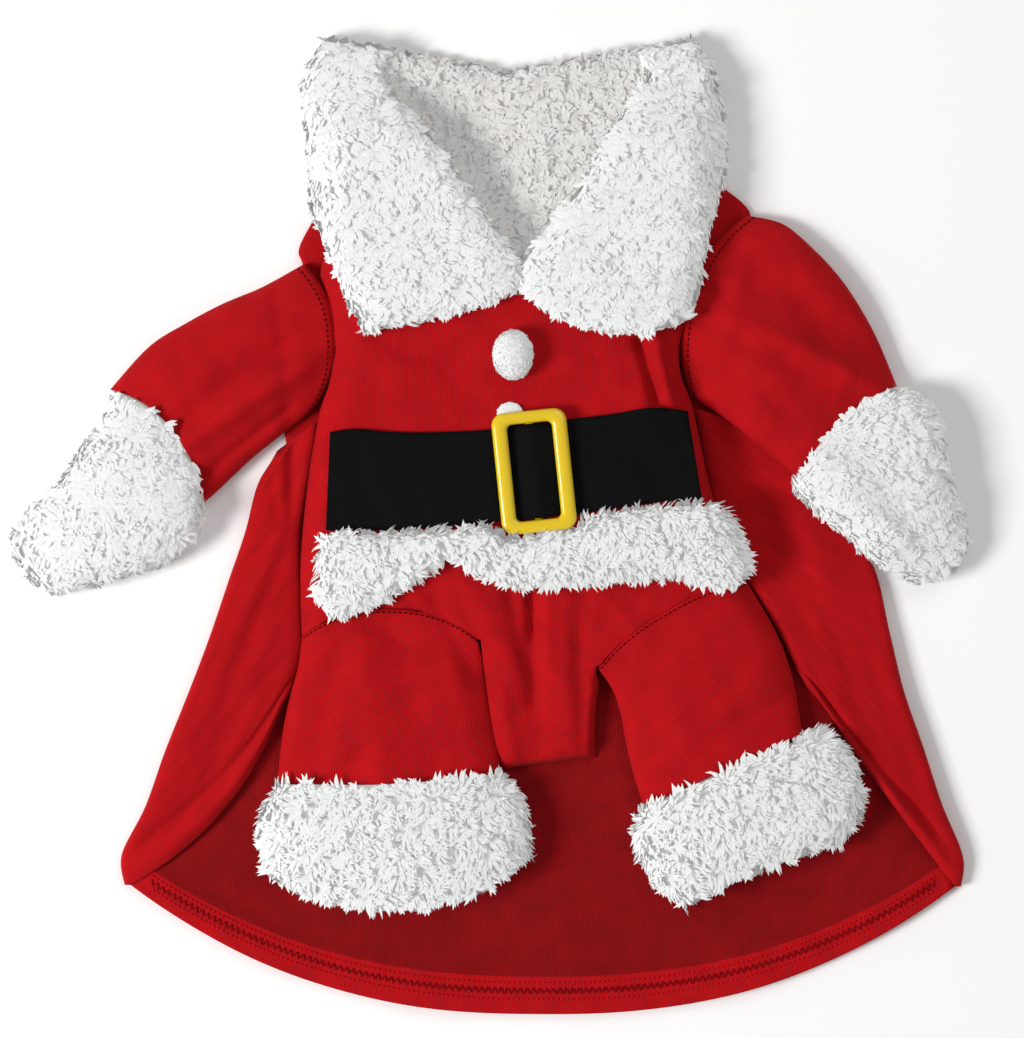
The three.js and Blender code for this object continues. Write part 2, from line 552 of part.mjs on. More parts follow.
function trim() {
  const height = (x, y) => bridgedHeight(x, y, 5) + SEAM;
  return pad(TRIM, { along: 20, wide: 5, thick: () => PILE_PAD - 1, height });
}

// Dome with a flat underside on the belly
function pompom({ centre: [cx, cy], wide, long, high }, lift = SEAM) {
  const rings = 5;
  const around = 14;
  const footAngle = -0.5;      // the dome begins a little below its widest ring
  const level = Math.max(...[-1, 0, 1].flatMap((a) => [-1, 0, 1].map((b) =>
    bellyHeight(cx + (a * wide) / 3, cy + (b * long) / 3)))) + lift;
  const profile = [];
  for (let i = 0; i <= rings; i += 1) {
    const angle = lerp(footAngle, Math.PI / 2, i / rings);
    profile.push(new THREE.Vector2(Math.cos(angle) * 0.5, 0.32 + Math.sin(angle) * 0.68));
  }
  profile[profile.length - 1].x = 0;
  profile.unshift(new THREE.Vector2(0, profile[0].y));
  const base = profile[0].y;
  const geometry = new THREE.LatheGeometry(profile, around).rotateX(Math.PI / 2);
  geometry.scale(wide, long, high / (1 - base));
  geometry.translate(cx, cy, level - (high * base) / (1 - base));
  geometry.deleteAttribute('uv');
  geometry.deleteAttribute('normal');
  return mergeVertices(geometry, 1e-3);
}

// Rounded frame with a window, and the hidden bar that the belt passes over
function buckle() {
  const { wide, high, bar, endBar, thick, corner, middleBar } = BUCKLE;
  const outline = (w, h, r, PathClass) => {
    const path = new PathClass();
    path.moveTo(-w / 2 + r, -h / 2);
    path.lineTo(w / 2 - r, -h / 2).absarc(w / 2 - r, -h / 2 + r, r, -Math.PI / 2, 0);
    path.lineTo(w / 2, h / 2 - r).absarc(w / 2 - r, h / 2 - r, r, 0, Math.PI / 2);
    path.lineTo(-w / 2 + r, h / 2).absarc(-w / 2 + r, h / 2 - r, r, Math.PI / 2, Math.PI);
    path.lineTo(-w / 2, -h / 2 + r).absarc(-w / 2 + r, -h / 2 + r, r, Math.PI, 1.5 * Math.PI);
    return path;
  };
  const bevel = 1;
  const shape = outline(wide - 2 * bevel, high - 2 * bevel, corner - bevel, THREE.Shape);
  shape.holes.push(outline(wide - 2 * bar + 2 * bevel, high - 2 * endBar + 2 * bevel, 2.6, THREE.Path));
  const frame = new THREE.ExtrudeGeometry(shape, {
    depth: thick - 2 * bevel, bevelThickness: bevel, bevelSize: bevel, bevelSegments: 2, curveSegments: 4,
  });
  frame.deleteAttribute('uv');
  frame.deleteAttribute('normal');
  frame.translate(0, 0, bevel);
  const bridge = new THREE.BoxGeometry(middleBar, high - 2 * endBar + 3, 1.4).toNonIndexed();
  bridge.deleteAttribute('uv');
  bridge.deleteAttribute('normal');
  bridge.translate(0, 0, 0.7);
  const foot = (side) => {
    const block = new THREE.BoxGeometry(middleBar, 3, thick - 1).toNonIndexed();
    block.deleteAttribute('uv');
    block.deleteAttribute('normal');
    return block.translate(0, side * (high / 2 - endBar / 2), (thick - 1) / 2);
  };
  return [mergeVertices(frame, 1e-4), bridge, foot(1), foot(-1)];
}

function buckleInPlace() {
  const [cx, cy] = BUCKLE.centre;
  const top = Math.max(...[-14, 0, 14].flatMap((a) => [-22, 0, 22].map((b) => bellyHeight(cx + a, cy + b))));
  const level = top + SEAM;
  const [frame, bridge, ...feet] = buckle();
  frame.translate(0, 0, WEBBING + SEAM + 0.3);
  feet.forEach((foot) => foot.translate(0, 0, 0.2));
  return join([frame, bridge, ...feet]).rotateZ(degToRad(BUCKLE.tilt)).translate(cx, cy, level);
}

// Collar: the band behind the neck and the two flaps folded over the chest, one closed body
function collar() {
  const back = pad(COLLAR_ROWS, {
    along: 9, wide: 16, thick: () => COLLAR_BACK, height: () => 0, rim: 0.5,
  });
  const [low, high] = [112.8, 124.8];
  const tuck = (x, y) => 4 * THREE.MathUtils.smoothstep(y, low, high)
    * (Math.exp(-(((x - -74.4) / 9) ** 2)) + Math.exp(-(((x - 91.6) / 9) ** 2)));
  const [open, closed] = [150.8, 186.8];
  const height = (x, y) => lerp(bridgedHeight(x, y, 4) + SEAM - tuck(x, y), TOP_FOLD,
    THREE.MathUtils.smoothstep(y, open, closed));
  const flap = (rows) => pad(rows, { along: 11, wide: 9, thick: () => PILE_PAD + 1, height, rim: 0.45 });
  return join([back, flap(FLAP_LEFT), flap(FLAP_RIGHT)]);
}

const wristOnly = (t) => THREE.MathUtils.smoothstep(t, 0.3, 0.9);
const sleeve = (rows) => tube(rows, { along: 9, thick: KNIT, edge: 3.2, underBow: wristOnly, folds: 1 });
const mitt = (rows, tip) => tube(rows, { along: 8, thick: FLEECE, edge: 6.5, tip });
const leg = (rows) => tube(rows, { along: 7, thick: KNIT, edge: 3.4, folds: 1, seamZ: bellyHeight });
const cuff = (rows) => tube(rows, { along: 5, around: 24, thick: CUFF_WALL, edge: 6 });

// ---- The costume --------------------------------------------------------------------------
const RED_KNIT = { color: 0xa8121b, roughness: 0.85, metalness: 0 };
const WHITE_FLEECE = { color: 0xececea, roughness: 0.95, metalness: 0 };
const BLACK_WEBBING = { color: 0x0e0e11, roughness: 0.8, metalness: 0 };
const YELLOW_PLASTIC = { color: 0xe0c40a, roughness: 0.25, metalness: 0 };

const PIECES = [
  ['back_panel', backPanel, RED_KNIT],
  ['front_panel', frontPanel, RED_KNIT],
  ['sleeve_left', () => sleeve(SLEEVE_LEFT), RED_KNIT],
  ['sleeve_right', () => sleeve(SLEEVE_RIGHT), RED_KNIT],
  ['mitt_left', () => mitt(MITT_LEFT, MITT_LEFT_TIP), WHITE_FLEECE],
  ['mitt_right', () => mitt(MITT_RIGHT, MITT_RIGHT_TIP), WHITE_FLEECE],
  ['leg_left', () => leg(LEG_LEFT), RED_KNIT],
  ['leg_right', () => leg(LEG_RIGHT), RED_KNIT],
  ['leg_cuff_left', () => cuff(CUFF_LEFT), WHITE_FLEECE],
  ['leg_cuff_right', () => cuff(CUFF_RIGHT), WHITE_FLEECE],
  ['collar', collar, WHITE_FLEECE],
  ['coat_trim', trim, WHITE_FLEECE],
  ['belt', belt, BLACK_WEBBING],
  ['buckle', buckleInPlace, YELLOW_PLASTIC],
  ['pompom_upper', () => pompom(POMPOM), WHITE_FLEECE],
  ['pompom_lower', () => pompom(POMPOM_UNDER_BUCKLE), WHITE_FLEECE],
];

const costume = new THREE.Group();
for (const [name, make, finish] of PIECES) {
  const mesh = new THREE.Mesh(make(), new THREE.MeshStandardMaterial(finish));
  mesh.name = name;
  costume.add(mesh);
}

export default costume;
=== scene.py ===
# %% [markdown]
# # A small dog's Santa costume, laid flat
#
# The costume is a knitted coat with sleeves and trouser legs, lying on its back with the belly side
# up. A maker would cut red rib knit, sew on bands of curly white fleece, and close the waist with
# black webbing and a yellow plastic buckle. The frame already holds a plain solid for every piece.
# This file dresses each solid with its real surface: cloth with creases, a pile of curly locks,
# stitches, gloss.
#
# Every visual piece is worked out from the same short tables as its solid, so it can't drift off
# it.

import json
import math

import bmesh
import bpy
import numpy as np
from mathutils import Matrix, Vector

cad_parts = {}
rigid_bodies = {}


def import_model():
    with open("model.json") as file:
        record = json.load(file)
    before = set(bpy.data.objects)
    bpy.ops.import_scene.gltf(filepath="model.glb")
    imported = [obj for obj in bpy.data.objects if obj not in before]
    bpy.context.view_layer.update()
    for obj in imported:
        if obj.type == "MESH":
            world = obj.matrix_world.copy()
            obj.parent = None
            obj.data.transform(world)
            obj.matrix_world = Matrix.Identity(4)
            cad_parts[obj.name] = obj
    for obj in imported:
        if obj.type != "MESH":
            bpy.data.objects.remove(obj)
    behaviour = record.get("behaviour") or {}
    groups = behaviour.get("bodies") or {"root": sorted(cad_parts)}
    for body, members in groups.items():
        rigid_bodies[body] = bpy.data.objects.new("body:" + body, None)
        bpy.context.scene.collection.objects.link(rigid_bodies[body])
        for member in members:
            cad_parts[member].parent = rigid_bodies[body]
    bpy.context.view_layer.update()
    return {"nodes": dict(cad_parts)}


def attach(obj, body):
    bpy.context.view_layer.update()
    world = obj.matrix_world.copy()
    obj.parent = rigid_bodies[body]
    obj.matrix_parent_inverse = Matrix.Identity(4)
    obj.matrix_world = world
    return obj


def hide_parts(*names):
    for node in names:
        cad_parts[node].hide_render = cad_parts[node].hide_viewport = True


for leftover in list(bpy.data.objects):
    bpy.data.objects.remove(leftover)
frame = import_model()
print("solids in the frame:", len(frame["nodes"]))

# %% [markdown]
# ## Driving sizes and tables
#
# All sizes are in millimetres, and a mesh is made in metres at the last moment. A table has one row
# for each place that was measured on the costume, and the surface between the rows is a smooth
# curve. That is how a pattern cutter works too: a few measured widths, joined by a flexible curve.

# %% Driving sizes
MM = 0.001
KNIT = 1.6              # wall of the brushed knit
FLEECE = 5              # wall of the fleece with its pile
CUFF_WALL = 4.5
PILE_PAD = 7.5          # thickness of a fleece band that lies on the knit
SEAM = 0.3              # gap between pieces at a seam
WEBBING = 1.2
TOP_FOLD = 4.5          # height where the flaps grow out of the collar's top fold
COLLAR_BACK = 8.5
PILE_DEPTH = 1.8        # how much of a fleece's thickness is loose pile
BUCKLE = dict(wide=29.8, high=48.2, bar=6.0, end_bar=4.9, thick=3.6, corner=5.0, tilt=6.0,
              centre=(16.7, 22.0))
DEEPER = 1.4            # the listed creases are laid in this much deeper than their table says
FULLNESS = 2.4          # power of the bow along a row: the higher, the squarer
UPWARD = np.array([0.0, 0.0, 1.0])
DETAIL = 1.0


def table(names, rows, **same):
    """An array for each named column, and for each column that has the same value in every row."""
    columns = dict(zip(names.split(), np.array(rows, float).T))
    return columns | {name: np.full(len(rows), float(value)) for name, value in same.items()}


# %% The belly's surface and the folds in it
BELLY = table("y left right crown left_z right_z left_roll right_roll", [
    (194.8, -73.6, 91.2, 13, 5, 5, 24, 24),
    (118.8, -72, 89.6, 14, 5, 5, 24, 24),
    (102.8, -69.2, 84.8, 14.5, 5, 5, 22, 20),
    (70.4, -63.2, 75.6, 16, 8, 8, 16, 14),
    (46.8, -69.6, 79.2, 17, 9, 8, 14, 10),
    (22.8, -72.8, 84.8, 17.5, 9, 7.5, 13, 8),
    (2.8, -76, 88.4, 17.5, 9, 7.5, 13, 8),
    (-10.4, -76.8, 95.6, 16.5, 9, 7.5, 13, 10),
    (-29.2, -76, 104, 15, 8.5, 8, 13, 13),
    (-45.2, -75.6, 114.4, 13.5, 8, 8, 13, 13),
    (-69.2, -81.2, 122, 11, 8, 8, 13, 13),
    (-97.2, -85.6, 124.4, 8.5, 8, 8, 13, 13),
])
FOLD_COLUMNS = "x1 y1 x2 y2 rise half"
FOLDS = table(FOLD_COLUMNS, [
    (17.6, -26, 16.4, -65.2, -1.8, 4),        # crotch pleat, valley
    (28, -28.4, 29.6, -69.2, 1.3, 5),         # crotch pleat, ridge
    (63.2, 62, 59.2, 48.8, 1.2, 5),           # chest, beside the right sleeve
    (59.2, 90.8, 72, 48.8, -1, 5),
    (-128, 29.6, -76.8, 62.4, 1.6, 6),        # left sleeve, ridge along it
    (-120.4, 16.4, -84.8, 43.6, -1.2, 5),     # left sleeve, seam line under it
    (103.2, 81.6, 153.2, 56, 1.5, 6),         # right sleeve, crease across it
    (88, 90.8, 123.2, 30.8, -1.2, 7),
    (-76.8, -45.2, -82.4, -93.2, 1, 6),       # trouser legs
    (-36.8, -45.2, -24.8, -93.2, -1, 8),
    (59.2, -65.2, 99.2, -45.2, 0.9, 7),
    (-92, 10.8, -106.8, -45.2, 1.4, 7),       # sides of the coat
    (-96.8, -45.2, -120.8, -93.2, -1.1, 7),
    (-80.8, 34.8, -80, 10.8, 1.6, 6),
    (107.2, 18.8, 143.2, -61.2, -1, 8),
    (139.2, -29.2, 165.2, -101.2, 1.3, 7),
])
# Smaller creases that the plain solids leave out, each with its own length and depth
CREASES = table(FOLD_COLUMNS, [
    (-58, 60, -30, 64, 0.6, 3.4),             # chest, drawn in by the belt
    (59, 72, 65, 50, -2.6, 2.2),              # chest, the sharp pleat beside the right sleeve
    (65, 74, 70, 54, 2.0, 2.6),
    (34, 64, 50, 58, 0.6, 3.6),
    (-44, 74, -20, 64, -0.6, 4),
    (-52, -36, -38, -44, -0.6, 4),            # below the trim
    (-22, -30, -6, -60, -1.2, 3.4),           # crotch, round the left leg's seam
    (-8, -26, 6, -52, 0.9, 4.2),
    (15.4, -22, 16.2, -42, -2.2, 2.3),        # crotch pleat, its sharp edge
    (16, -40, 17, -66, -1.0, 3),
    (21, -22, 22, -52, 1.2, 2.8),
    (16.4, -60, 18, -86, -0.5, 4),
    (7, -24, 12.4, -50, -1.4, 2.8),
    (36, -28, 33, -58, -0.7, 3),
    (44, -28, 56, -40, 0.7, 3.6),
    (64, -22, 84, -28, -0.5, 3.2),
    (4, -66, 8, -90, 0.9, 3.2),
    (36, -52, 36, -86, -0.9, 2.6),
    (8, -93, 34, -90, 1.0, 3),
    (-62, -52, -70, -96, -0.7, 4),            # left leg
    (-50, -60, -44, -96, 0.7, 5),
    (-68, -66, -30, -56, -0.6, 5),
    (-14, -58, -6, -94, 0.7, 3.4),
    (-60, -98, -52, -90, -0.9, 3),
    (58, -66, 92, -50, -1.0, 5),              # right leg
    (70, -92, 104, -64, 0.9, 6),
    (98, -78, 118, -68, -0.8, 4),
    (104, -42, 112, -62, 0.6, 3.4),
    (-86, 94, -82, 60, -0.8, 3.2),            # left sleeve
    (-124, 70, -78, 72, -1.5, 8),
    (-144, 58, -116, 60, 1.0, 5),
    (-106, 88, -82, 94, 0.8, 5),
    (-127, 29, -74, 64, 2.0, 4.2),
    (-124, 41, -84, 70, -1.6, 5),
    (-119, 17, -82, 46, -1.9, 1.7),           # its seam
    (-146, 48, -128, 40, -0.8, 4),
    (-136, 44, -126, 24, 0.6, 3.4),
    (102, 112, 94, 78, 0.7, 3.4),             # right sleeve
    (104, 104, 152, 70, -2.3, 8),
    (90, 85, 155, 56, 1.9, 3.6),
    (96, 74, 130, 52, 0.7, 6),
    (96, 62, 118, 44, -0.8, 3.4),
    (142, 64, 132, 38, 0.6, 3.2),
    (-80, 38, -79, 8, -2.6, 3.4),             # left side of the coat
    (-92, 26, -86, 8, -0.9, 3),
    (-84, -4, -98, -34, 1.0, 3.4),
    (-104, -20, -114, -52, -0.8, 4),
    (-88, -42, -100, -66, 0.9, 4.2),
    (-110, -62, -132, -110, 1.2, 4.6),
    (-100, -72, -112, -96, -0.8, 3.4),
    (97, 34, 110, -6, -1.9, 8),               # right side of the coat
    (122, 12, 132, -24, 0.8, 5),
    (114, 14, 126, -34, -0.7, 5.5),
    (122, -20, 138, -58, 1.0, 4),
    (150, -50, 172, -108, -0.9, 4),
    (128, -50, 144, -80, 0.9, 3.6),
    (146, -80, 162, -112, 0.8, 4),
])

# %% The coat: back, wrapped sides, front and crotch
ENDS = "x1 y1 x2 y2"
BACK = table(ENDS + " bow fold_left fold_right", [
    (-72, 121.6, 92.4, 135.6, 24.8, 0, 0),
    (-77.2, 110.8, 103.2, 125.2, 20, 0, 0),
    (-75.2, 102, 98.4, 112, 18, 0, 0),
    (-73.6, 72.8, 88, 82.8, 12, 0, 0),
    (-83, 46, 85, 53, 8, 0, 0),
    (-86, 30.4, 105, 40, 9.6, 7, 4.6),
    (-93.6, 16.8, 125, 23, 12.8, 7, 4.6),
    (-98.4, -1.6, 139.2, 2.8, 18.4, 7, 4.6),
    (-104.8, -20.4, 152.4, -15.6, 24.8, 7, 4.8),
    (-113.2, -45.2, 158.8, -42, 28.8, 7, 6.5),
    (-121.6, -67.2, 164.4, -65.2, 34, 7, 7),
    (-130.4, -89.2, 172, -87.2, 40, 7, 7),
    (-138.4, -111.6, 179.6, -110.4, 44.8, 7, 7),
    (-147.8, -130.6, 188, -131.2, 48.6, 6, 6),
    (-146.8, -142.8, 187.4, -143.4, 51.4, 5, 5),
])
ARMPIT_ROW = 5
SIDE_LEFT = table("x y bow z", [
    (-70, 42.8, -1.2, 9), (-72, 29.6, 0, 9), (-74.8, 14.8, 0, 9), (-77.2, 0.8, 0, 9),
    (-77.6, -13.2, 0, 9), (-76.8, -29.2, 0.8, 8.5), (-76.4, -43.6, 2.4, 8), (-78.8, -54, 4.8, 8.5),
    (-80.8, -61.2, 7.6, 8), (-82.8, -67.6, 10, 4.6),
])
SIDE_RIGHT = table("x y bow z", [
    (82.4, 48, 0, 7.5), (84.8, 34.8, 0, 7), (87.2, 20.8, 0, 7), (89.6, 7.6, 0, 7),
    (95.6, -8.4, 0, 7), (104.4, -22.8, 0, 7.2), (111.6, -34, 0, 7.5), (118.4, -46, 1.2, 8),
    (122.8, -55.6, 2, 8), (127.6, -64.4, 1.2, 4.6),
])
FRONT = table(ENDS + " bow", [
    (-63.2, 112, 86, 118.4, 19.2),
    (-68.4, 101.6, 84, 108.8, 16.8),
    (-64.8, 85.2, 78.2, 86, 8),
    (-63, 70.4, 74.4, 71.2, 3.2),
    (-64.4, 58, 75.4, 59.6, 0),
    (-68.4, 46, 78.8, 51.2, 0),
    (-71.2, 30.8, 82.4, 36.8, 0),
    (-74, 14.8, 85.2, 20.8, 0),
    (-76.4, -1.2, 87.6, 7.6, 0),
    (-76.8, -16.4, 94, -7.2, 0),
    (-76.4, -30, 98.8, -15.6, 0),
    (-75.8, -43.2, 102, -21.6, 0),
])
CROTCH = table(ENDS, [
    (-4.4, -46, 41.2, -55.6), (-2.2, -54, 39.6, -63.6), (-0.6, -65.2, 38.4, -71.6),
    (1, -76.4, 38, -80.4), (4.4, -96.4, 37.6, -92),
])

# %% Tubes: trouser legs, cuffs, sleeves and mitts
TUBE = ENDS + " bow height"
LEG_LEFT = table(TUBE, [
    (-75.6, -44, -5.6, -45.2, -11.6, 12.5),
    (-77.2, -55.2, -3.2, -54, -8.8, 13.5),
    (-80.4, -67.2, -1.6, -65.2, -5.6, 14),
    (-82.8, -78, 0.2, -76.4, -2.4, 13.5),
    (-84.4, -89.2, 2, -87.6, 0, 13),
    (-85.6, -102, 3.6, -97.6, 2, 12.5),
], base1=2, base2=2)
LEG_RIGHT = table(TUBE, [
    (42.4, -56.4, 101.4, -21.8, -6, 12),
    (48, -64.8, 108.4, -33.2, -4, 13.5),
    (51.2, -74.4, 114.8, -45.2, -2.4, 14),
    (53.2, -85.2, 119.6, -59.2, 0, 13.5),
    (56, -97.2, 122, -71.2, 0, 13),
    (60.4, -111.2, 123.6, -82, 0, 12.5),
], base1=2, base2=2)
CUFF_LEFT = table(TUBE, [
    (-86.4, -102.8, 4.8, -98.8, 2, 16),
    (-91.2, -111.6, 11.2, -106.4, 3.6, 19),
    (-92.8, -122.8, 15.2, -118.8, 9.6, 20),
    (-91.6, -133.2, 13.6, -129.6, 17.6, 17),
], base1=2, base2=2)
CUFF_RIGHT = table(TUBE, [
    (60.4, -112.8, 124.8, -84, 0, 16),
    (56.8, -122, 134, -82, 0, 19),
    (60, -134, 143.2, -91.2, 0, 20),
    (66.8, -143.6, 147.2, -109.2, -0.8, 19),
    (74.4, -149.2, 140.4, -122.8, -2.8, 16),
], base1=2, base2=2)
SLEEVE_LEFT = table(TUBE, [
    (-76.8, 104, -74.4, 44, -11.6, 11),
    (-92, 95.6, -87.6, 34, -6.4, 14),
    (-107.2, 89.2, -96.8, 26.4, -2, 15),
    (-121.6, 81.6, -103.6, 20, -0.8, 14.5),
    (-136.8, 72, -110, 14, -2.4, 14),
    (-152.4, 54.8, -116, 8.4, -10, 13),
], base1=0, base2=0)
SLEEVE_RIGHT = table(TUBE + " base2", [
    (104, 124, 80.4, 51.2, 12.4, 10, 0),
    (116.4, 120.8, 88.8, 46, 6, 13, 1.5),
    (128, 111.2, 97.2, 40, 2, 15, 5),
    (138.4, 100, 104.8, 33.6, 0, 15, 6),
    (146.4, 88.4, 110.8, 28.4, 0, 14.5, 6),
    (154, 74.4, 116.4, 24, 2, 14, 6),
    (161.6, 56, 122, 19.2, 5.6, 13, 6),
], base1=0)
MITT_LEFT = table(TUBE, [
    (-152.8, 53.2, -116, 6.2, -10, 16),
    (-156.8, 41.2, -115.6, -0.8, -6.8, 20),
    (-163.2, 33.6, -122, -8.4, -3.6, 22),
    (-170, 23.2, -134, -16.8, -1.2, 22.5),
    (-176.8, 14, -147.2, -20.4, 0, 22),
    (-184, 8.4, -159.6, -24.4, 0, 20),
    (-188.4, 1.2, -172, -26.8, 0, 16),
], base1=0, base2=0)
MITT_LEFT_TIP = (-188.8, -14)
MITT_RIGHT = table(TUBE + " base2", [
    (160.8, 54.4, 122, 18, 5.6, 16, 6),
    (167.6, 54, 120.4, 12.8, 4, 20, 6),
    (174.4, 50.4, 125.6, 7.6, 2, 22, 6),
    (178.8, 43.2, 132.4, 1.2, 0, 22.5, 6),
    (181.2, 30, 140.8, -4.8, 0, 22, 6),
    (184, 16.8, 148.8, -12, 0, 21, 5),
    (187.6, 6.4, 157.2, -17.6, 0, 18, 2),
    (188.8, -2.4, 168, -22, 0, 14, 0),
], base1=0)
MITT_RIGHT_TIP = (183.2, -15.6)

# %% Bands on the belly, and the collar
BELT = table(ENDS, [
    (-64, 37.6, -65.6, -1.2), (-54, 38.8, -56.4, -1.6), (-38, 37.6, -34.8, -0.8),
    (-19.6, 37.6, -12.8, 0.4), (-2.8, 38.4, 1.2, 2), (5.2, 39.6, 8.4, 2.8), (11.2, 40.4, 14.4, 3.2),
    (16.4, 40.8, 19.6, 3.6), (21.6, 41.6, 24.8, 4.4), (27.6, 42.4, 30.8, 4.8),
    (35.2, 43.2, 39.2, 6), (48, 44.8, 53.2, 8), (63.6, 47.2, 68, 10), (77.6, 46, 83.2, 10.8),
])
TRIM = table(ENDS, [
    (-66.4, -3.6, -68.8, -27.6), (-58.8, -3.6, -60.8, -34), (-48.8, -3.6, -50.4, -30.4),
    (-38.8, -3.6, -38.8, -24.4), (-26.8, -2.8, -26.8, -17.2), (-17.6, -2.4, -17.2, -10),
    (-12, -2, -11.2, -14), (-1.6, -1.2, -0.8, -19.6), (5.2, -5.2, 6.4, -21.6),
    (17.2, -4.6, 17.2, -22), (34.4, -1.2, 33.2, -20.8), (39.2, 3.2, 45.2, -20),
    (55.2, 5.6, 59.2, -18.8), (71.2, 7.6, 76, -18.8), (83.2, 8, 88, -22.4), (90.4, 6, 96.4, -21.2),
    (95.6, 0.4, 101.2, -14),
])
COLLAR_BAND = table(ENDS + " bow full", [
    (-71.2, 122.4, 91.6, 136.4, 24, 2.4),
    (-71.6, 134.8, 92, 146.8, 20.8, 2.2),
    (-73.2, 150.8, 92, 159.6, 17.6, 1.8),
    (-74.4, 166.8, 90, 171.6, 14.4, 1.4),
    (-73.2, 182, 86.4, 183.6, 12.8, 1.1),
    (-65.6, 193.6, 80, 193.6, 12.4, 1),
])
FLAP_LEFT = table(ENDS + " bow", [
    (-65.6, 193.6, -40, 189.6, 0),
    (-73.6, 179.6, -45.6, 178.8, 0),
    (-74, 163.6, -36, 166.8, 0),
    (-71.2, 146, -24.8, 154, 0),
    (-71.2, 129.2, -14.4, 139.6, 0),
    (-64.4, 110.8, -4.8, 125.2, 0),
    (-57.6, 94, 3.2, 113.6, 0.8),
    (-53.6, 85.2, 9.6, 106, 1.6),
    (-50, 79.2, 10.4, 94.8, 2),
])
FLAP_RIGHT = table(ENDS + " bow", [
    (57.6, 189.2, 80, 193.6, 0),
    (63.2, 178.8, 87.2, 178.8, 0),
    (54.4, 165.6, 91.6, 158.8, 0),
    (45.2, 150, 91.2, 140.4, 0),
    (36, 134.8, 87.6, 126, 0),
    (26.4, 122, 83.6, 110.8, 0),
    (19.2, 112.4, 81.2, 96.8, 1.6),
    (12.8, 105.2, 79.2, 89.2, 6.4),
    (12.4, 94.8, 78, 84.4, 10.8),
])
print("tables read, rows in the coat's back:", len(BACK["y1"]))

# %% [markdown]
# ## Reading a table as a surface
#
# A row of a table is a chord across the piece with two measured ends. Between two rows the ends
# follow a smooth curve, and along a row the cloth bows below its chord. Two parameters, t down the
# rows and w across one, then reach every point. numpy works out the whole grid at once, without a
# loop over points.

# %% Rows and chords
def smooth(x, low, high):
    """0 below low, 1 above high, and 3k² - 2k³ between them."""
    k = np.clip((x - low) / (high - low), 0, 1)
    return k * k * (3 - 2 * k)


def mix(a, b, k):
    """The value k of the way from a to b."""
    return a + (b - a) * k


def unit(vectors):
    """Vectors scaled to length 1."""
    return vectors / np.maximum(np.linalg.norm(vectors, axis=-1, keepdims=True), 1e-9)


def unit_grid(rows, columns):
    """t down the rows of cells and w across the columns, both from 0 to 1."""
    return np.meshgrid(np.linspace(0, 1, rows + 1), np.linspace(0, 1, columns + 1), indexing="ij")


def angles_round(count):
    """Evenly spaced angles of a full turn."""
    return np.arange(count) * 2 * np.pi / count


def row_at(rows, t):
    """Each column at t, 0 at the first row and 1 at the last: a Catmull-Rom curve through them."""
    last = len(next(iter(rows.values()))) - 1
    place = np.clip(t, 0, 1) * last
    i = np.minimum(place.astype(int), last - 1)
    k = place - i
    out = {}
    for name, value in rows.items():
        a, b, c, d = (value[np.clip(i + step, 0, last)] for step in (-1, 0, 1, 2))
        bent = 2 * a - 5 * b + 4 * c - d + k * (3 * (b - c) + d - a)
        out[name] = b + 0.5 * k * (c - a + k * bent)
    return out


def across(row, w, full=FULLNESS):
    """The point w along a row's chord, pushed to its right by bow·(1 - |2w - 1|^full)."""
    dx, dy = row["x2"] - row["x1"], row["y2"] - row["y1"]
    push = row.get("bow", 0) * (1 - np.abs(2 * w - 1) ** full) / np.hypot(dx, dy)
    return row["x1"] + dx * w + dy * push, row["y1"] + dy * w - dx * push


def fold_height(x, y, folds):
    """Soft ridges: sums of rise·exp(-(off/half)² - (past/2half)²) off a line and past its ends."""
    total = np.zeros(np.shape(x))
    for x1, y1, x2, y2, rise, half in zip(*folds.values()):
        dx, dy = x2 - x1, y2 - y1
        long = math.hypot(dx, dy)
        along = ((x - x1) * dx + (y - y1) * dy) / long
        off = ((x - x1) * dy - (y - y1) * dx) / long
        past = np.maximum(0, np.maximum(-along, along - long))
        total += rise * np.exp(-(off / half) ** 2 - (past / (2 * half)) ** 2)
    return total


def belly(x, y):
    """The belly's height: the crown, less 1 - (1 - d/roll)^2.2 toward each side, plus the folds."""
    row = {name: np.interp(-y, -BELLY["y"], value) for name, value in BELLY.items()}

    def roll(d, wide):
        return 1 - (1 - np.clip(d / wide, 0, 1)) ** 2.2

    left, right = x - row["left"], row["right"] - x
    drop = (row["crown"] - row["left_z"]) * (1 - roll(left, row["left_roll"]))
    drop = drop + (row["crown"] - row["right_z"]) * (1 - roll(right, row["right_roll"]))
    return row["crown"] - drop + fold_height(x, y, FOLDS) * roll(left, 12) * roll(right, 12)


def unevenness(x, y):
    """Slight waviness of soft cloth: five sine waves 17 to 43 mm long, 0.12 mm high each."""
    waves = ((17, 0.4, 0), (22, 1.9, 2), (29, 2.7, 4), (35, 1.1, 1), (43, 0.2, 5))
    return sum(0.12 * np.sin((x * math.cos(turn) + y * math.sin(turn)) * 2 * math.pi / long + start)
               for long, turn, start in waves)


def fine_creases(x, y):
    """The creases that the solids leave out, and the cloth's unevenness."""
    return DEEPER * fold_height(x, y, CREASES) + unevenness(x, y)


def creased(x, y):
    """The belly with its fine creases, which fade out over the last 10 mm toward its side edges."""
    left, right = (np.interp(-y, -BELLY["y"], BELLY[name]) for name in ("left", "right"))
    return belly(x, y) + fine_creases(x, y) * smooth(np.minimum(x - left, right - x), 0, 10)


def bridged(x, y, reach):
    """The creased belly with its dips bridged: the highest of nine places, 'reach' apart."""
    steps = (-reach, 0, reach)
    return np.max([creased(x + a, y + b) for a in steps for b in steps], axis=0)


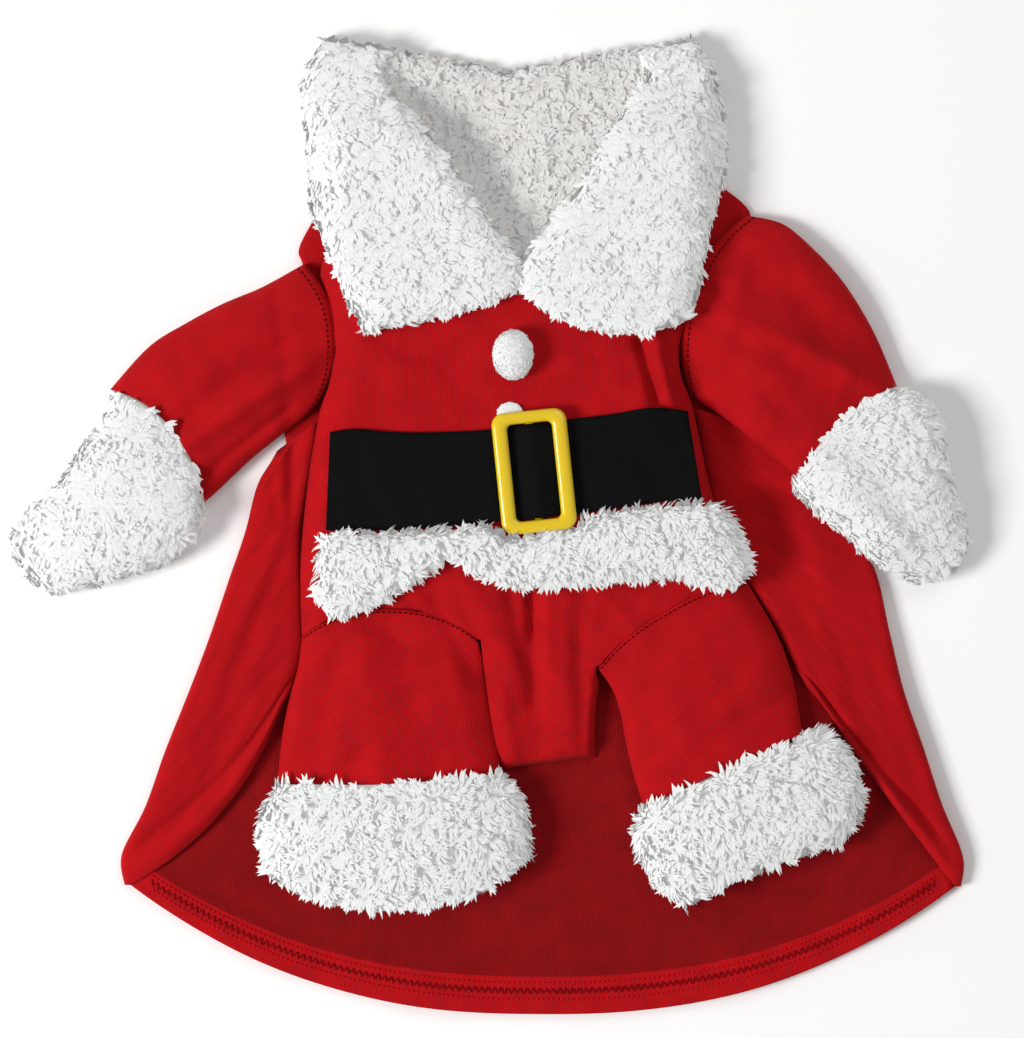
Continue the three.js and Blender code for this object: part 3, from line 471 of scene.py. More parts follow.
def resting_level(centre_x, centre_y, off_x, off_y):
    """Where a stiff piece lies: a seam's gap above the highest of nine places under it."""
    steps = np.array([-1, 0, 1])
    x, y = np.meshgrid(centre_x + off_x * steps, centre_y + off_y * steps)
    return float(belly(x, y).max()) + SEAM


print("crown of the chest, mm:", round(float(belly(np.array(8.0), np.array(60.0))), 1))

# %% [markdown]
# ## From grids of points to closed meshes
#
# Real cloth has a thickness, and a renderer and an export both like closed shapes. So each piece is
# two grids, an outer and an inner face, and walls of quads wherever the cloth ends. The
# alternative, one sheet with a Solidify modifier, can't thin a hem or close the tip of a mitt.

# %% Walls between two grids
def shell(outer, inner, keep=None, ring=False):
    """Points, quads and which face inward: two quads to a kept cell, a wall at each free edge."""
    rows, count = outer.shape[0] - 1, outer.shape[1]
    columns = count if ring else count - 1
    keep = np.ones((rows, columns), bool) if keep is None else keep
    index = np.arange((rows + 1) * count).reshape(rows + 1, count)
    far = index.size
    near, beside = index[:, :columns], np.roll(index, -1, axis=1)[:, :columns]
    a, b, c, d = near[:-1], near[1:], beside[1:], beside[:-1]
    edged = np.pad(keep, 1)
    if ring:
        edged[1:-1, 0], edged[1:-1, -1] = keep[:, -1], keep[:, 0]
    faces = [np.stack([a, b, c, d], -1)[keep], np.stack([d, c, b, a], -1)[keep] + far]
    sides = ((a, b, edged[1:-1, :-2]), (b, c, edged[2:, 1:-1]),
             (c, d, edged[1:-1, 2:]), (d, a, edged[:-2, 1:-1]))
    for p, q, neighbour in sides:
        faces.append(np.stack([q, p, p + far, q + far], -1)[keep & ~neighbour])
    faces = np.concatenate(faces)
    inward = np.zeros(len(faces), np.int32)
    inward[keep.sum():2 * keep.sum()] = 1
    return np.concatenate([outer.reshape(-1, 3), inner.reshape(-1, 3)]), faces, inward


def loop_quads(rows, around):
    """Quads between the rows of a grid that closes round, with 'around' points to a row."""
    index = np.arange(rows * around).reshape(rows, around)
    beside = np.roll(index, -1, 1)
    return np.stack([index[:-1], beside[:-1], beside[1:], index[1:]], -1).reshape(-1, 4)


def normals_of(points):
    """Unit normals of a sheet's grid, upward: the cross product of its two central differences."""
    down = np.gradient(points, axis=0)
    cross = np.cross(down, np.gradient(points, axis=1))
    cross = cross * np.sign(cross[..., 2].mean())
    return unit(cross)


def new_object(name, data):
    """An object that is linked into the scene."""
    made = bpy.data.objects.new(name, data)
    bpy.context.scene.collection.objects.link(made)
    return made


def make_mesh(name, points, faces, inward=None, uv=None, values=None, shading=None, weld=False):
    """A smooth-shaded object from arrays in millimetres; 'faces' is one block or a list of them."""
    blocks = faces if isinstance(faces, list) else [faces]
    used = np.unique(np.concatenate([block.ravel() for block in blocks]))
    renumber = np.zeros(len(points), int)
    renumber[used] = np.arange(len(used))
    corners = renumber[np.concatenate([block.ravel() for block in blocks])].astype(np.int32)
    sides = np.concatenate([np.full(len(block), block.shape[1]) for block in blocks])
    data = bpy.data.meshes.new(name)
    data.vertices.add(len(used))
    data.vertices.foreach_set("co", (points[used] * MM).astype(np.float32).ravel())
    data.loops.add(len(corners))
    data.loops.foreach_set("vertex_index", corners)
    data.polygons.add(len(sides))
    data.polygons.foreach_set("loop_start", (np.cumsum(sides) - sides).astype(np.int32))
    if inward is not None:
        data.polygons.foreach_set("material_index", inward)
    data.update(calc_edges=True)
    if uv is not None:
        layer = data.uv_layers.new(name="cloth")
        layer.data.foreach_set("uv", uv[used][corners].astype(np.float32).ravel())
    if values is not None:
        shade = data.attributes.new("shade", "FLOAT", "POINT")
        shade.data.foreach_set("value", values[used].astype(np.float32))
    if weld:
        work = bmesh.new()
        work.from_mesh(data)
        bmesh.ops.remove_doubles(work, verts=work.verts, dist=1e-6)
        bmesh.ops.recalc_face_normals(work, faces=work.faces)
        work.to_mesh(data)
        work.free()
    data.shade_smooth()
    if shading is not None:
        data.normals_split_custom_set_from_vertices(shading[used])
    return new_object(name, data)


def dress(piece, finish, slot, *solids, inside=None):
    """Materials and body of a finished piece, and the solids it stands in for; 'slot' is not used.
    """
    piece.data.materials.append(finish)
    piece.data.materials.append(inside or finish)
    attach(piece, "root")
    if solids:
        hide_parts(*solids)
    triangles.append(len(piece.data.loops) - 2 * len(piece.data.polygons))
    print(f"{piece.name}: {triangles[-1]} triangles")
    return piece


triangles = []


def half_surface(piece):
    """Area of one face of a closed cloth, in square metres."""
    areas = np.zeros(len(piece.data.polygons))
    piece.data.polygons.foreach_get("area", areas)
    return float(areas.sum() / 2)


# %% [markdown]
# ## Knit, fleece, webbing and plastic
#
# The red cloth is a fine rib: wales, the small columns of stitches, run down the garment about 1.1
# mm apart. Modelling each stitch would take millions of faces, so a node group draws them from the
# cloth's own UV map, which is measured in millimetres, and a Bump node turns them into light and
# shade. The grooves between the wales are also coloured darker, as painted shade. The outer face is
# smooth and bright, and the inner face is brushed and darker, partly as painted shade for the
# inside of the coat, so the group is used twice.

# %% Node helpers
def linear(red, green, blue):
    """An sRGB colour of 0 to 255 as the linear values that a shader takes."""
    c = np.array([red, green, blue]) / 255
    return (*np.where(c <= 0.04045, c / 12.92, ((c + 0.055) / 1.055) ** 2.4).tolist(), 1.0)


def add(tree, kind, inputs=None, **settings):
    """A node with its settings; an input is a value, or another node's socket to link."""
    made = tree.nodes.new(kind)
    for key, value in settings.items():
        setattr(made, key, value)
    for key, value in (inputs or {}).items():
        if isinstance(value, bpy.types.NodeSocket):
            tree.links.new(value, made.inputs[key])
        else:
            made.inputs[key].default_value = value
    return made


def new_group(name, inputs, outputs):
    """An empty node group with named float or vector inputs and float outputs."""
    group = bpy.data.node_groups.new(name, "ShaderNodeTree")
    for label, kind, value in inputs:
        socket = group.interface.new_socket(label, in_out="INPUT", socket_type=kind)
        if kind == "NodeSocketFloat":
            socket.default_value = value
    for label in outputs:
        group.interface.new_socket(label, in_out="OUTPUT", socket_type="NodeSocketFloat")
    return group, group.nodes.new("NodeGroupInput"), group.nodes.new("NodeGroupOutput")


def new_material(name, **constants):
    """A material whose Principled shader has its constants set on its own sockets."""
    material = bpy.data.materials.new(name)
    material.use_nodes = True
    shader = material.node_tree.nodes["Principled BSDF"]
    for label, value in constants.items():
        shader.inputs[label.replace("_", " ")].default_value = value
    return material, material.node_tree, shader


def finish_look(tree, shader, shade, colours, height, strength, distance):
    """'shade' picks the shader's colour between two, and 'height' feeds a Bump node."""
    colour = add(tree, "ShaderNodeMix", {"Factor": shade, 6: colours[0], 7: colours[1]},
                 data_type="RGBA")
    relief = add(tree, "ShaderNodeBump",
                 {"Height": height, "Strength": strength, "Distance": distance})
    tree.links.new(colour.outputs[2], shader.inputs["Base Color"])
    tree.links.new(relief.outputs[0], shader.inputs["Normal"])


# %% The knit pattern
knit_group, knit_in, knit_out = new_group(
    "Rib knit",
    [("Place", "NodeSocketVector", None), ("Wale", "NodeSocketFloat", 0.9),
     ("Course", "NodeSocketFloat", 0.9), ("Fuzz", "NodeSocketFloat", 0.3)],
    ["Height", "Shade"],
)


def calc(operation, a, b=0.0, c=0.0):
    """The result of one Math node in the group."""
    return add(knit_group, "ShaderNodeMath", {0: a, 1: b, 2: c}, operation=operation).outputs[0]


knit_place = knit_in.outputs["Place"]
wander = add(knit_group, "ShaderNodeTexNoise", {"Vector": knit_place, "Scale": 0.09, "Detail": 2.0})
fuzz = add(knit_group, "ShaderNodeTexNoise", {"Vector": knit_place, "Scale": 1.4, "Detail": 3.0})
split = add(knit_group, "ShaderNodeSeparateXYZ", {0: knit_place})
shifted = calc("MULTIPLY_ADD", wander.outputs["Fac"], 1.6, split.outputs["X"])
column = calc("DIVIDE", shifted, knit_in.outputs["Wale"])
wale_turn = calc("MULTIPLY", column, math.pi)
across_wale = calc("ABSOLUTE", calc("SINE", wale_turn))
slant = calc("PINGPONG", column, 0.5)
row_place = calc("DIVIDE", split.outputs["Y"], knit_in.outputs["Course"])
row_turn = calc("MULTIPLY", calc("ADD", row_place, slant), 2 * math.pi)
stitch = calc("MULTIPLY_ADD", calc("SINE", row_turn), 0.22, 0.78)
ribbed = calc("MULTIPLY", across_wale, stitch)
centred = calc("SUBTRACT", fuzz.outputs["Fac"], 0.5)
fuzzed = calc("MULTIPLY", centred, knit_in.outputs["Fuzz"])
height = calc("ADD", ribbed, calc("MULTIPLY", fuzzed, 2.0))
knit_group.links.new(height, knit_out.inputs["Height"])
# Painted shade: the grooves between the wales take the darker colour. The wander patches and the
# fuzz are random tone.
rib_shade = calc("MULTIPLY_ADD", ribbed, 0.25, 0.12)
patch = calc("MULTIPLY_ADD", wander.outputs["Fac"], 0.65, rib_shade)
shade = add(knit_group, "ShaderNodeClamp", {0: calc("ADD", patch, fuzzed)})
knit_group.links.new(shade.outputs[0], knit_out.inputs["Shade"])
print("node group:", knit_group.name)


# %% Knit finishes
def knit_material(name, dark, light, wale, fuzz_size, bump):
    """Rib knit between two colours, its wales 'wale' mm apart, with painted shade in the grooves.
    """
    material, tree, shader = new_material(
        name, Roughness=0.86, Specular_IOR_Level=0.12, Sheen_Weight=0.05, Sheen_Roughness=0.5,
        Sheen_Tint=linear(255, 120, 120))
    place = add(tree, "ShaderNodeUVMap", uv_map="cloth").outputs[0]
    knit = add(tree, "ShaderNodeGroup", {"Place": place, "Wale": wale, "Fuzz": fuzz_size},
               node_tree=knit_group).outputs
    finish_look(tree, shader, knit["Shade"], (dark, light), knit["Height"], bump, 0.0004)
    return material


red_knit = knit_material("Red rib knit", linear(128, 4, 10), linear(196, 11, 20),
                         wale=0.95, fuzz_size=0.42, bump=0.42)
# The inside's rib is brushed, and its darker colours are partly painted shade for the inside of the
# coat.
brushed_knit_in_shade = knit_material("Brushed knit inside", linear(92, 2, 7), linear(150, 7, 13),
                            wale=1.2, fuzz_size=0.9, bump=0.35)


# %% Fleece, webbing, plastic and thread
def fleece_material(name, root, tip, painted_glow):
    """Curly fleece between a lock's root and tip colours; 'glow' is an emission: painted light."""
    material, tree, shader = new_material(
        name, Roughness=0.95, Specular_IOR_Level=0.1, Sheen_Weight=0.1,
        Emission_Color=(1, 1, 1, 1), Emission_Strength=painted_glow)
    # Painted shade: the backing and a lock's root take the darker root colour, and its tip takes
    # the lighter tip colour.
    along = add(tree, "ShaderNodeAttribute", attribute_name="shade").outputs["Fac"]
    place = add(tree, "ShaderNodeTexCoord").outputs["Object"]
    curls = add(tree, "ShaderNodeTexNoise", {"Vector": place, "Scale": 700.0, "Detail": 2.0})
    finish_look(tree, shader, along, (root, tip), curls.outputs["Fac"], 0.5, 0.0008)
    return material


# Both fleeces: the darker root colour is painted shade, and a weak emission is painted light that
# lifts the shade.
white_fleece = fleece_material("White fleece", linear(200, 201, 200), linear(212, 214, 213), 0.2)
lining_fleece = fleece_material("Lining fleece", linear(186, 183, 179), linear(214, 212, 208), 0.14)

webbing_material, webbing_tree, webbing_shader = new_material(
    "Black webbing", Roughness=0.8, Specular_IOR_Level=0.12)
webbing_place = add(webbing_tree, "ShaderNodeUVMap", uv_map="cloth").outputs[0]
weave = add(webbing_tree, "ShaderNodeTexWave",
            {"Vector": webbing_place, "Scale": 0.55, "Distortion": 0.6},
            wave_type="BANDS", bands_direction="Y").outputs["Fac"]
blacks = linear(1, 1, 2), linear(6, 6, 8)
# Painted shade: the weave's grooves take the darker black.
finish_look(webbing_tree, webbing_shader, weave, blacks, weave, 0.4, 0.0004)

yellow_plastic = new_material("Yellow plastic", Base_Color=linear(222, 189, 13), Roughness=0.24,
                              Coat_Weight=0.5, Coat_Roughness=0.12)[0]
dark_thread, hem_thread, red_thread = (
    new_material(name, Base_Color=linear(*colour), Roughness=rough, Specular_IOR_Level=0.1)[0]
    for name, colour, rough in (("Dark red thread", (84, 2, 6), 0.9),
                                ("Hem thread", (134, 6, 13), 0.9),
                                ("Red thread", (196, 12, 22), 0.8)))
print("materials:", len(bpy.data.materials))

# %% [markdown]
# ## Knit panels
#
# Cloth that lies on the surface isn't inflated. Its back is flat, its side folds are round, and the
# layers above follow what is under them. Each panel is therefore its solid's own form on a fine
# grid, with more creases laid in one by one. Its UV map is measured on the finished grid: u is the
# distance along a row from the panel's middle and v is the distance down it, so the rib keeps its
# size everywhere.

# %% UV in millimetres
def measured_uv(points, middle):
    """u: distance along each row from column 'middle'. v: distance down that column."""
    steps = np.linalg.norm(np.diff(points, axis=1), axis=-1)
    u = np.concatenate([np.zeros((len(points), 1)), np.cumsum(steps, axis=1)], axis=1)
    u = u - u[:, middle:middle + 1]
    down = np.linalg.norm(np.diff(points[:, middle], axis=0), axis=-1)
    v = np.concatenate([[0], np.cumsum(down)])[:, None] + np.zeros_like(u)
    return np.stack([u, v], -1).reshape(-1, 2)


# %% Front panel
FINE = 5                # visual cells for each cell of the solid
FRONT_ROWS, CROTCH_ROWS = 12, 4         # cells of the solid down the panel and down the crotch
LEFT_SEAM, RIGHT_SEAM, FRONT_CELLS = 9, 14, 22      # cells to each leg's seam and in all
LEG_EASE = 0.55         # how far down the front its rows start to ease toward the leg seams
TURNED_UNDER = 3.4      # crotch cloth that folds under beside the right leg
TURN_START = 0.9        # where across the crotch that fold starts
UNDER_LEG = 1.4         # how far the crotch reaches under the left leg
TURN_DROP, LEG_DROP, END_DROP = 7, 1.5, 4.5         # how low it sinks there and at its end
CROTCH_FLOOR = 3.6      # the lowest that it lies


def front_points():
    """Rows of the front, eased at their end to the two leg seams, then the crotch between them."""
    t, w = unit_grid(FRONT_ROWS * FINE, FRONT_CELLS * FINE)
    x, y = across(row_at(FRONT, t), w)
    column = w[0] * FRONT_CELLS
    first = {name: {key: value[0] for key, value in rows.items()}
             for name, rows in (("left", LEG_LEFT), ("right", LEG_RIGHT), ("crotch", CROTCH))}
    over_crotch = np.clip((column - LEFT_SEAM) / (RIGHT_SEAM - LEFT_SEAM), 0, 1)
    over_right = np.clip((column - RIGHT_SEAM) / (FRONT_CELLS - RIGHT_SEAM), 0, 1)
    left = across(first["left"], np.clip(column / LEFT_SEAM, 0, 1))
    right = across(first["right"], over_right)
    between = across(first["crotch"], over_crotch)
    spots = [column < LEFT_SEAM, column > RIGHT_SEAM]
    seat_x = np.select(spots, [left[0], right[0] - SEAM], between[0])
    seat_y = np.select(spots, [left[1] + 2 * SEAM, right[1] + 2 * SEAM], between[1])
    seat_y = seat_y + np.where(np.abs(column - LEFT_SEAM) < 0.01, 1, 0)
    ease = smooth(t, LEG_EASE, 1)
    body = mix(x, seat_x, ease), mix(y, seat_y, ease)
    t, k = np.meshgrid(np.linspace(0, 1, CROTCH_ROWS * FINE + 1)[1:], over_crotch, indexing="ij")
    eased = smooth(t, 0, 0.3)
    crotch = across(row_at(CROTCH, t), mix(k, np.minimum(1, k / TURN_START), eased))
    past = np.clip((k - TURN_START) / (1 - TURN_START), 0, 1) * eased
    under_leg = (1 - smooth(k, 0, 0.06)) * eased
    crotch = crotch[0] + TURNED_UNDER * past - UNDER_LEG * under_leg, crotch[1]
    x, y = (np.concatenate(pair) for pair in zip(body, crotch))
    sunk = TURN_DROP * past ** 1.5 + LEG_DROP * under_leg + END_DROP * smooth(t, 0.84, 1) ** 2
    sunk = np.concatenate([0 * body[0], sunk])
    return np.stack([x, y, np.maximum(creased(x, y) - sunk, CROTCH_FLOOR)], -1)


front_outer = front_points()
front_inner = front_outer - normals_of(front_outer) * KNIT
cell_row, cell_column = np.indices(((FRONT_ROWS + CROTCH_ROWS) * FINE, FRONT_CELLS * FINE))
in_crotch = (cell_column >= LEFT_SEAM * FINE) & (cell_column < RIGHT_SEAM * FINE)
front_keep = (cell_row < FRONT_ROWS * FINE) | in_crotch
front_uv = np.tile(measured_uv(front_outer, FRONT_CELLS * FINE // 2), (2, 1))
front_shell = shell(front_outer, front_inner, front_keep)
front_panel = make_mesh("front_panel_knit", *front_shell, uv=front_uv, weld=True)
dress(front_panel, red_knit, "red_knit", "front_panel", inside=brushed_knit_in_shade)

# %% [markdown]
# The back is one cut with its two sides wrapped round to the belly. A section across it runs along
# the left side, round the left fold, over the flat back, round the right fold and up the right
# side. Above the armpits there are only the flat back's cells. The hem is turned up inside, so the
# wall is thicker there, and below the cuffs the brushed inner face is what shows.

# %% Back panel
BACK_CELLS = 8          # visual cells for each row of the table
BACK_ROWS, HEM_ROW = 14, 13
SIDE_CELLS, TURN, FLAT_CELLS = 22, 6, 72    # cells over a side, round its fold, over the flat back
HEM_TURN = 0.8          # what the turned-up hem adds to the wall
SIDE_TUCK = 1.8         # how far a side's edge goes down and in under the front
# Height, place in rows and half width of the lip that the hem makes on a side, and of its groove
LIP, GROOVE = (3.0, 13.5, 0.36), (-1.3, 12.8, 0.2)


def back_points(inside):
    """A side at fold + (front - fold)·(1 - w)^1.5, half a circle at the fold, then a flat back."""
    t = np.linspace(0, 1, BACK_ROWS * BACK_CELLS + 1)[:, None]
    place = t * BACK_ROWS
    row = row_at(BACK, t)
    hem = smooth(place, 12.75, 13.05)
    inset = (KNIT + HEM_TURN * hem) * inside
    below = place >= ARMPIT_ROW
    parts = []
    for side, sign in ((SIDE_LEFT, 1), (SIDE_RIGHT, -1)):
        w = np.linspace(0, 1, SIDE_CELLS + 1)[None, :]
        front = row_at(side, (place - ARMPIT_ROW) / (BACK_ROWS - ARMPIT_ROW))
        fold = np.maximum(row["fold_left" if sign > 0 else "fold_right"], 0)
        edge_x, edge_y = (row["x1"], row["y1"]) if sign > 0 else (row["x2"], row["y2"])
        chord = dict(x1=front["x"], y1=front["y"], x2=edge_x + sign * fold / 2, y2=edge_y,
                     bow=-sign * front["bow"])
        x, y = across(chord, w, 2)
        tuck = SIDE_TUCK * (1 - smooth(w, 0, 0.07))
        lip = sum(rise * np.exp(-((place - middle) / half) ** 2)
                  for rise, middle, half in (LIP, GROOVE))
        lip = lip * (1 - smooth(w, 0.8, 1)) * (0.5 + 0.5 * smooth(w, 0, 0.1))
        wave = (fold_height(x, y, FOLDS) + fine_creases(x, y)) * np.sin(np.pi * w)
        z = fold + (front["z"] - fold) * (1 - w) ** 1.5 + lip + wave - inset - tuck
        x = x + sign * tuck
        angle = np.linspace(0, np.pi, TURN + 1)[None, 1:-1]
        radius = np.maximum(fold / 2 - inset, 0.2)
        fold_x = edge_x + sign * (fold / 2 - radius * np.sin(angle))
        fold_part = fold_x, edge_y + 0 * fold_x, fold / 2 + radius * np.cos(angle)
        columns = [np.concatenate(pair, axis=1) for pair in zip((x, y, z + 0 * x), fold_part)]
        flat = (edge_x, edge_y, inset)
        parts.append([np.where(below, column, whole) for column, whole in zip(columns, flat)])
    w = np.linspace(0, 1, FLAT_CELLS + 1)[None, :]
    shrunk = dict(row, x1=row["x1"] + row["fold_left"] / 2, x2=row["x2"] - row["fold_right"] / 2)
    x, y = across(shrunk, w)
    z = inset + 0 * x
    if inside:
        ripple = np.sin(x / 11 + y / 23) + np.sin(x / 17 - y / 9) + 1.2
        z = z + hem * 0.5 + 0.5 * smooth(place, 6, 9) * ripple
    middle = (x, y, z)
    right = [column[:, ::-1] for column in parts[1]]
    return np.stack([np.concatenate(trio, axis=1) for trio in zip(parts[0], middle, right)], -1)


back_outer, back_inner = back_points(0), back_points(1)
side_columns = SIDE_CELLS + TURN
cell_row, cell_column = np.indices((BACK_ROWS * BACK_CELLS, back_outer.shape[1] - 1))
back_keep = (cell_row >= ARMPIT_ROW * BACK_CELLS) | (
    (cell_column >= side_columns) & (cell_column < side_columns + FLAT_CELLS))
back_uv = np.tile(measured_uv(back_outer, side_columns + FLAT_CELLS // 2), (2, 1))
back_shell = shell(back_outer, back_inner, back_keep)
# The shoulders and the turned-up hem show the cloth's outside
kept_row = cell_row[back_keep] // BACK_CELLS
back_shell[2][len(kept_row):2 * len(kept_row)] = (kept_row >= ARMPIT_ROW) & (kept_row < HEM_ROW)
back_panel = make_mesh("back_panel_knit", *back_shell, uv=back_uv, weld=True)
dress(back_panel, red_knit, "red_knit", "back_panel", inside=brushed_knit_in_shade)

# %% [markdown]
# ## Tubes: sleeves and trouser legs
#
# A sleeve that lies flat is a tube pressed to a lens: flat below, crowned above, and round at its
# two edges. An angle runs round the tube, and its sine lifts the upper half. At its seam the tube
# goes on for 2 mm under the next panel, as a seam allowance does.

# %% A flattened tube
def tube(rows, along, around, inset, edge, floor=0.0, creases=False, flat_wrist=False,
         on_belly=False, reach=1.0):
    """Angle a round the tube: w = 0.5 - 0.5cos a, top lifted by sin(a)^0.7, flat at the base."""
    t, angle = np.meshgrid(np.linspace(0, reach, along + 1), angles_round(around), indexing="ij")
    row = row_at(rows, t)
    lift = np.sin(angle)
    width = np.hypot(row["x2"] - row["x1"], row["y2"] - row["y1"])
    w = 0.5 - 0.5 * np.cos(angle) * (1 - 2 * inset / width)
    ease = smooth(t, 0.3, 0.9) if flat_wrist else 1.0
    bow = row["bow"] * np.where(lift >= -1e-6, 1, mix(1, ease, np.minimum(1, -2 * lift)))
    x, y = across(dict(row, bow=bow), w)
    base = mix(row["base1"], row["base2"], smooth(w, 0.5, 0.8))
    half = np.minimum(edge, row["height"] / 2)
    if on_belly:
        half = mix(np.maximum(half, 0.85 * (belly(x, y) - base)), half, smooth(t, 0, 0.4))
    crown = row["height"]
    if on_belly:
        crown = mix(belly(x, y) - base, crown, np.minimum(1, 3 * t))
    top = np.maximum(lift, 0)
    below = np.minimum(1, 2 * np.maximum(-lift, 0))
    z = base + half + (crown - half - inset) * top ** 0.7 - (half - inset) * below
    if creases:
        z = z + (fold_height(x, y, FOLDS) + fine_creases(x, y)) * top
    uv = np.stack([w * width, t * long_of(rows)], -1)
    return np.stack([x, y, np.maximum(z, floor)], -1), uv


def long_of(rows):
    """Length of a tube: the distance between the middles of its rows, summed."""
    middle = np.stack([(rows["x1"] + rows["x2"]) / 2, (rows["y1"] + rows["y2"]) / 2], -1)
    return float(np.linalg.norm(np.diff(middle, axis=0), axis=1).sum())


def tucked(rings, drop=1.6):
    """One more ring before the first: the seam allowance, 2 mm back under the next panel."""
    back = unit(rings[0] - rings[1]) * 2
    rise = rings[0, :, 2] / rings[0, :, 2].max()
    return np.concatenate([(rings[0] + back - drop * UPWARD * rise[:, None])[None], rings])


def knit_tube(node, rows, edge, on_belly=False):
    """A tube of knit, with its finer creases on the upper half."""
    shape = dict(along=48, around=88, edge=edge, creases=True, flat_wrist=not on_belly,
                 on_belly=on_belly)
    outer, uv = tube(rows, inset=0, **shape)
    inner, _ = tube(rows, inset=KNIT, floor=KNIT * 0.9, **shape)
    outer, inner = tucked(outer), tucked(inner)
    uv = np.tile(np.concatenate([uv[:1], uv]).reshape(-1, 2), (2, 1))
    piece = make_mesh(node + "_knit", *shell(outer, inner, ring=True), uv=uv, weld=True)
    return dress(piece, red_knit, "red_knit", node, inside=brushed_knit_in_shade), outer


sleeve_left, sleeve_left_points = knit_tube("sleeve_left", SLEEVE_LEFT, 3.2)
sleeve_right, sleeve_right_points = knit_tube("sleeve_right", SLEEVE_RIGHT, 3.2)
leg_left, leg_left_points = knit_tube("leg_left", LEG_LEFT, 3.4, on_belly=True)
leg_right, leg_right_points = knit_tube("leg_right", LEG_RIGHT, 3.4, on_belly=True)

# %% [markdown]
# ## Fleece backing
#
# Under the curls every fleece piece has a backing cloth. The backing follows the solid, kept inside
# it by the depth of the pile, so that the curls end where the solid does. Mitts and cuffs are
# tubes, and a mitt's tip closes like a bag: its rings shrink by the cosine as they move out by the
# sine.

# %% Mitts and cuffs
def close_tip(rings, tip, pull):
    """Six more rings: the last one shrinks by cos and moves toward the tip by sin."""
    last = rings[-1]
    middle = last.mean(axis=0)
    end = mix(middle, np.array([*tip, middle[2]]), pull)
    s = np.linspace(0, np.pi / 2, 7)[1:, None, None]
    return np.concatenate([rings, mix(middle, end, np.sin(s)) + (last - middle) * np.cos(s)])


def fleece_tube(node, rows, wall, edge, tip=None):
    """A tube of backing cloth, closed at its tip or open, when pile grows on its lip too."""
    along, around = 24, 44
    outer, _ = tube(rows, along, around, PILE_DEPTH, edge, floor=0.4)
    inner, _ = tube(rows, along, around, wall, edge, floor=wall * 0.9, reach=0.9 if tip else 1.0)
    if tip:
        outer, inner = close_tip(outer, tip, 0.86), close_tip(inner, tip, 0.2)
    walls = shell(tucked(outer, 3.2), tucked(inner, 1.0), ring=True)
    piece = make_mesh(node + "_fleece", *walls, weld=True)
    lip = outer[:0] if tip else np.stack([mix(outer[-1], inner[-1], 0.5), inner[-1]])
    return dress(piece, white_fleece, "white_fleece", node), np.concatenate([outer, lip])


mitt_left, mitt_left_points = fleece_tube("mitt_left", MITT_LEFT, FLEECE, 6.5, MITT_LEFT_TIP)
mitt_right, mitt_right_points = fleece_tube("mitt_right", MITT_RIGHT, FLEECE, 6.5, MITT_RIGHT_TIP)
cuff_left, cuff_left_points = fleece_tube("leg_cuff_left", CUFF_LEFT, CUFF_WALL, 6)
cuff_right, cuff_right_points = fleece_tube("leg_cuff_right", CUFF_RIGHT, CUFF_WALL, 6)


# %% Collar band, flaps and coat trim
END_ROUND, SIDE_ROUND = 12, 7           # how steeply a band rises at its ends and at its sides
HOLLOW_CENTRE, HOLLOW_HALF = (-14, 152), (24, 26)       # where the collar's band is pressed in
COLLAR_SIDES, SIDE_HALF = (-74.4, 91.6), 9              # where the flaps tuck in, and how widely
FLAP_TUCK = 4
NECK_LINE = (112.8, 124.8)              # the tuck fades in between these y
TOP_RISE = (150.8, 186.8)               # and the flaps rise to the top fold between these


def pad(name, node, rows, along, wide, thick, height, rim=0.35, finish=None, hollow=0):
    """A band on a surface, thick·(rim + (1 - rim)·√edge) high, with pile on its sides too."""
    def place(s):
        s = mix(0.03, 0.97, s)
        return 0.5 - 0.5 * np.cos(np.pi * s) * (1 - 0.25 * np.sin(np.pi * s) ** 2)

    def rounded(t, size):
        return np.minimum(1, rim + (1 - rim) * np.sqrt(np.minimum(1, np.minimum(t, 1 - t) * size)))

    t, w = (place(s) for s in unit_grid(along, wide))
    row = row_at(rows, t)
    x, y = across(row, w, row.get("full", FULLNESS))
    floor = height(x, y)
    if hollow:
        off_x = (x - HOLLOW_CENTRE[0]) / HOLLOW_HALF[0]
        off_y = (y - HOLLOW_CENTRE[1]) / HOLLOW_HALF[1]
        thick = thick - hollow * np.exp(-off_x ** 2 - off_y ** 2)
    rise = (thick - PILE_DEPTH) * np.minimum(rounded(t, END_ROUND), rounded(w, SIDE_ROUND))
    top, bottom = np.stack([x, y, floor + rise], -1), np.stack([x, y, floor], -1)
    piece = make_mesh(name, *shell(top, bottom), weld=True)
    piled = np.pad(top, ((1, 1), (1, 1), (0, 0)), mode="edge")
    rim_cells = np.pad(np.zeros(floor.shape, bool), 1, constant_values=True)
    piled[rim_cells, 2] = np.pad(floor, 1, mode="edge")[rim_cells] + 0.4
    return dress(piece, finish or white_fleece, "white_fleece", node), piled


def flap_floor(x, y):
    """Flaps lie on the bridged belly, tuck in at the collar's sides and rise to the top fold."""
    near_side = sum(np.exp(-((x - side) / SIDE_HALF) ** 2) for side in COLLAR_SIDES)
    tuck = FLAP_TUCK * smooth(y, *NECK_LINE) * near_side
    return mix(bridged(x, y, 4) + SEAM - tuck, TOP_FOLD, smooth(y, *TOP_RISE))


def trim_floor(x, y):
    """The trim lies on the belly with its folds bridged."""
    return bridged(x, y, 5) + SEAM


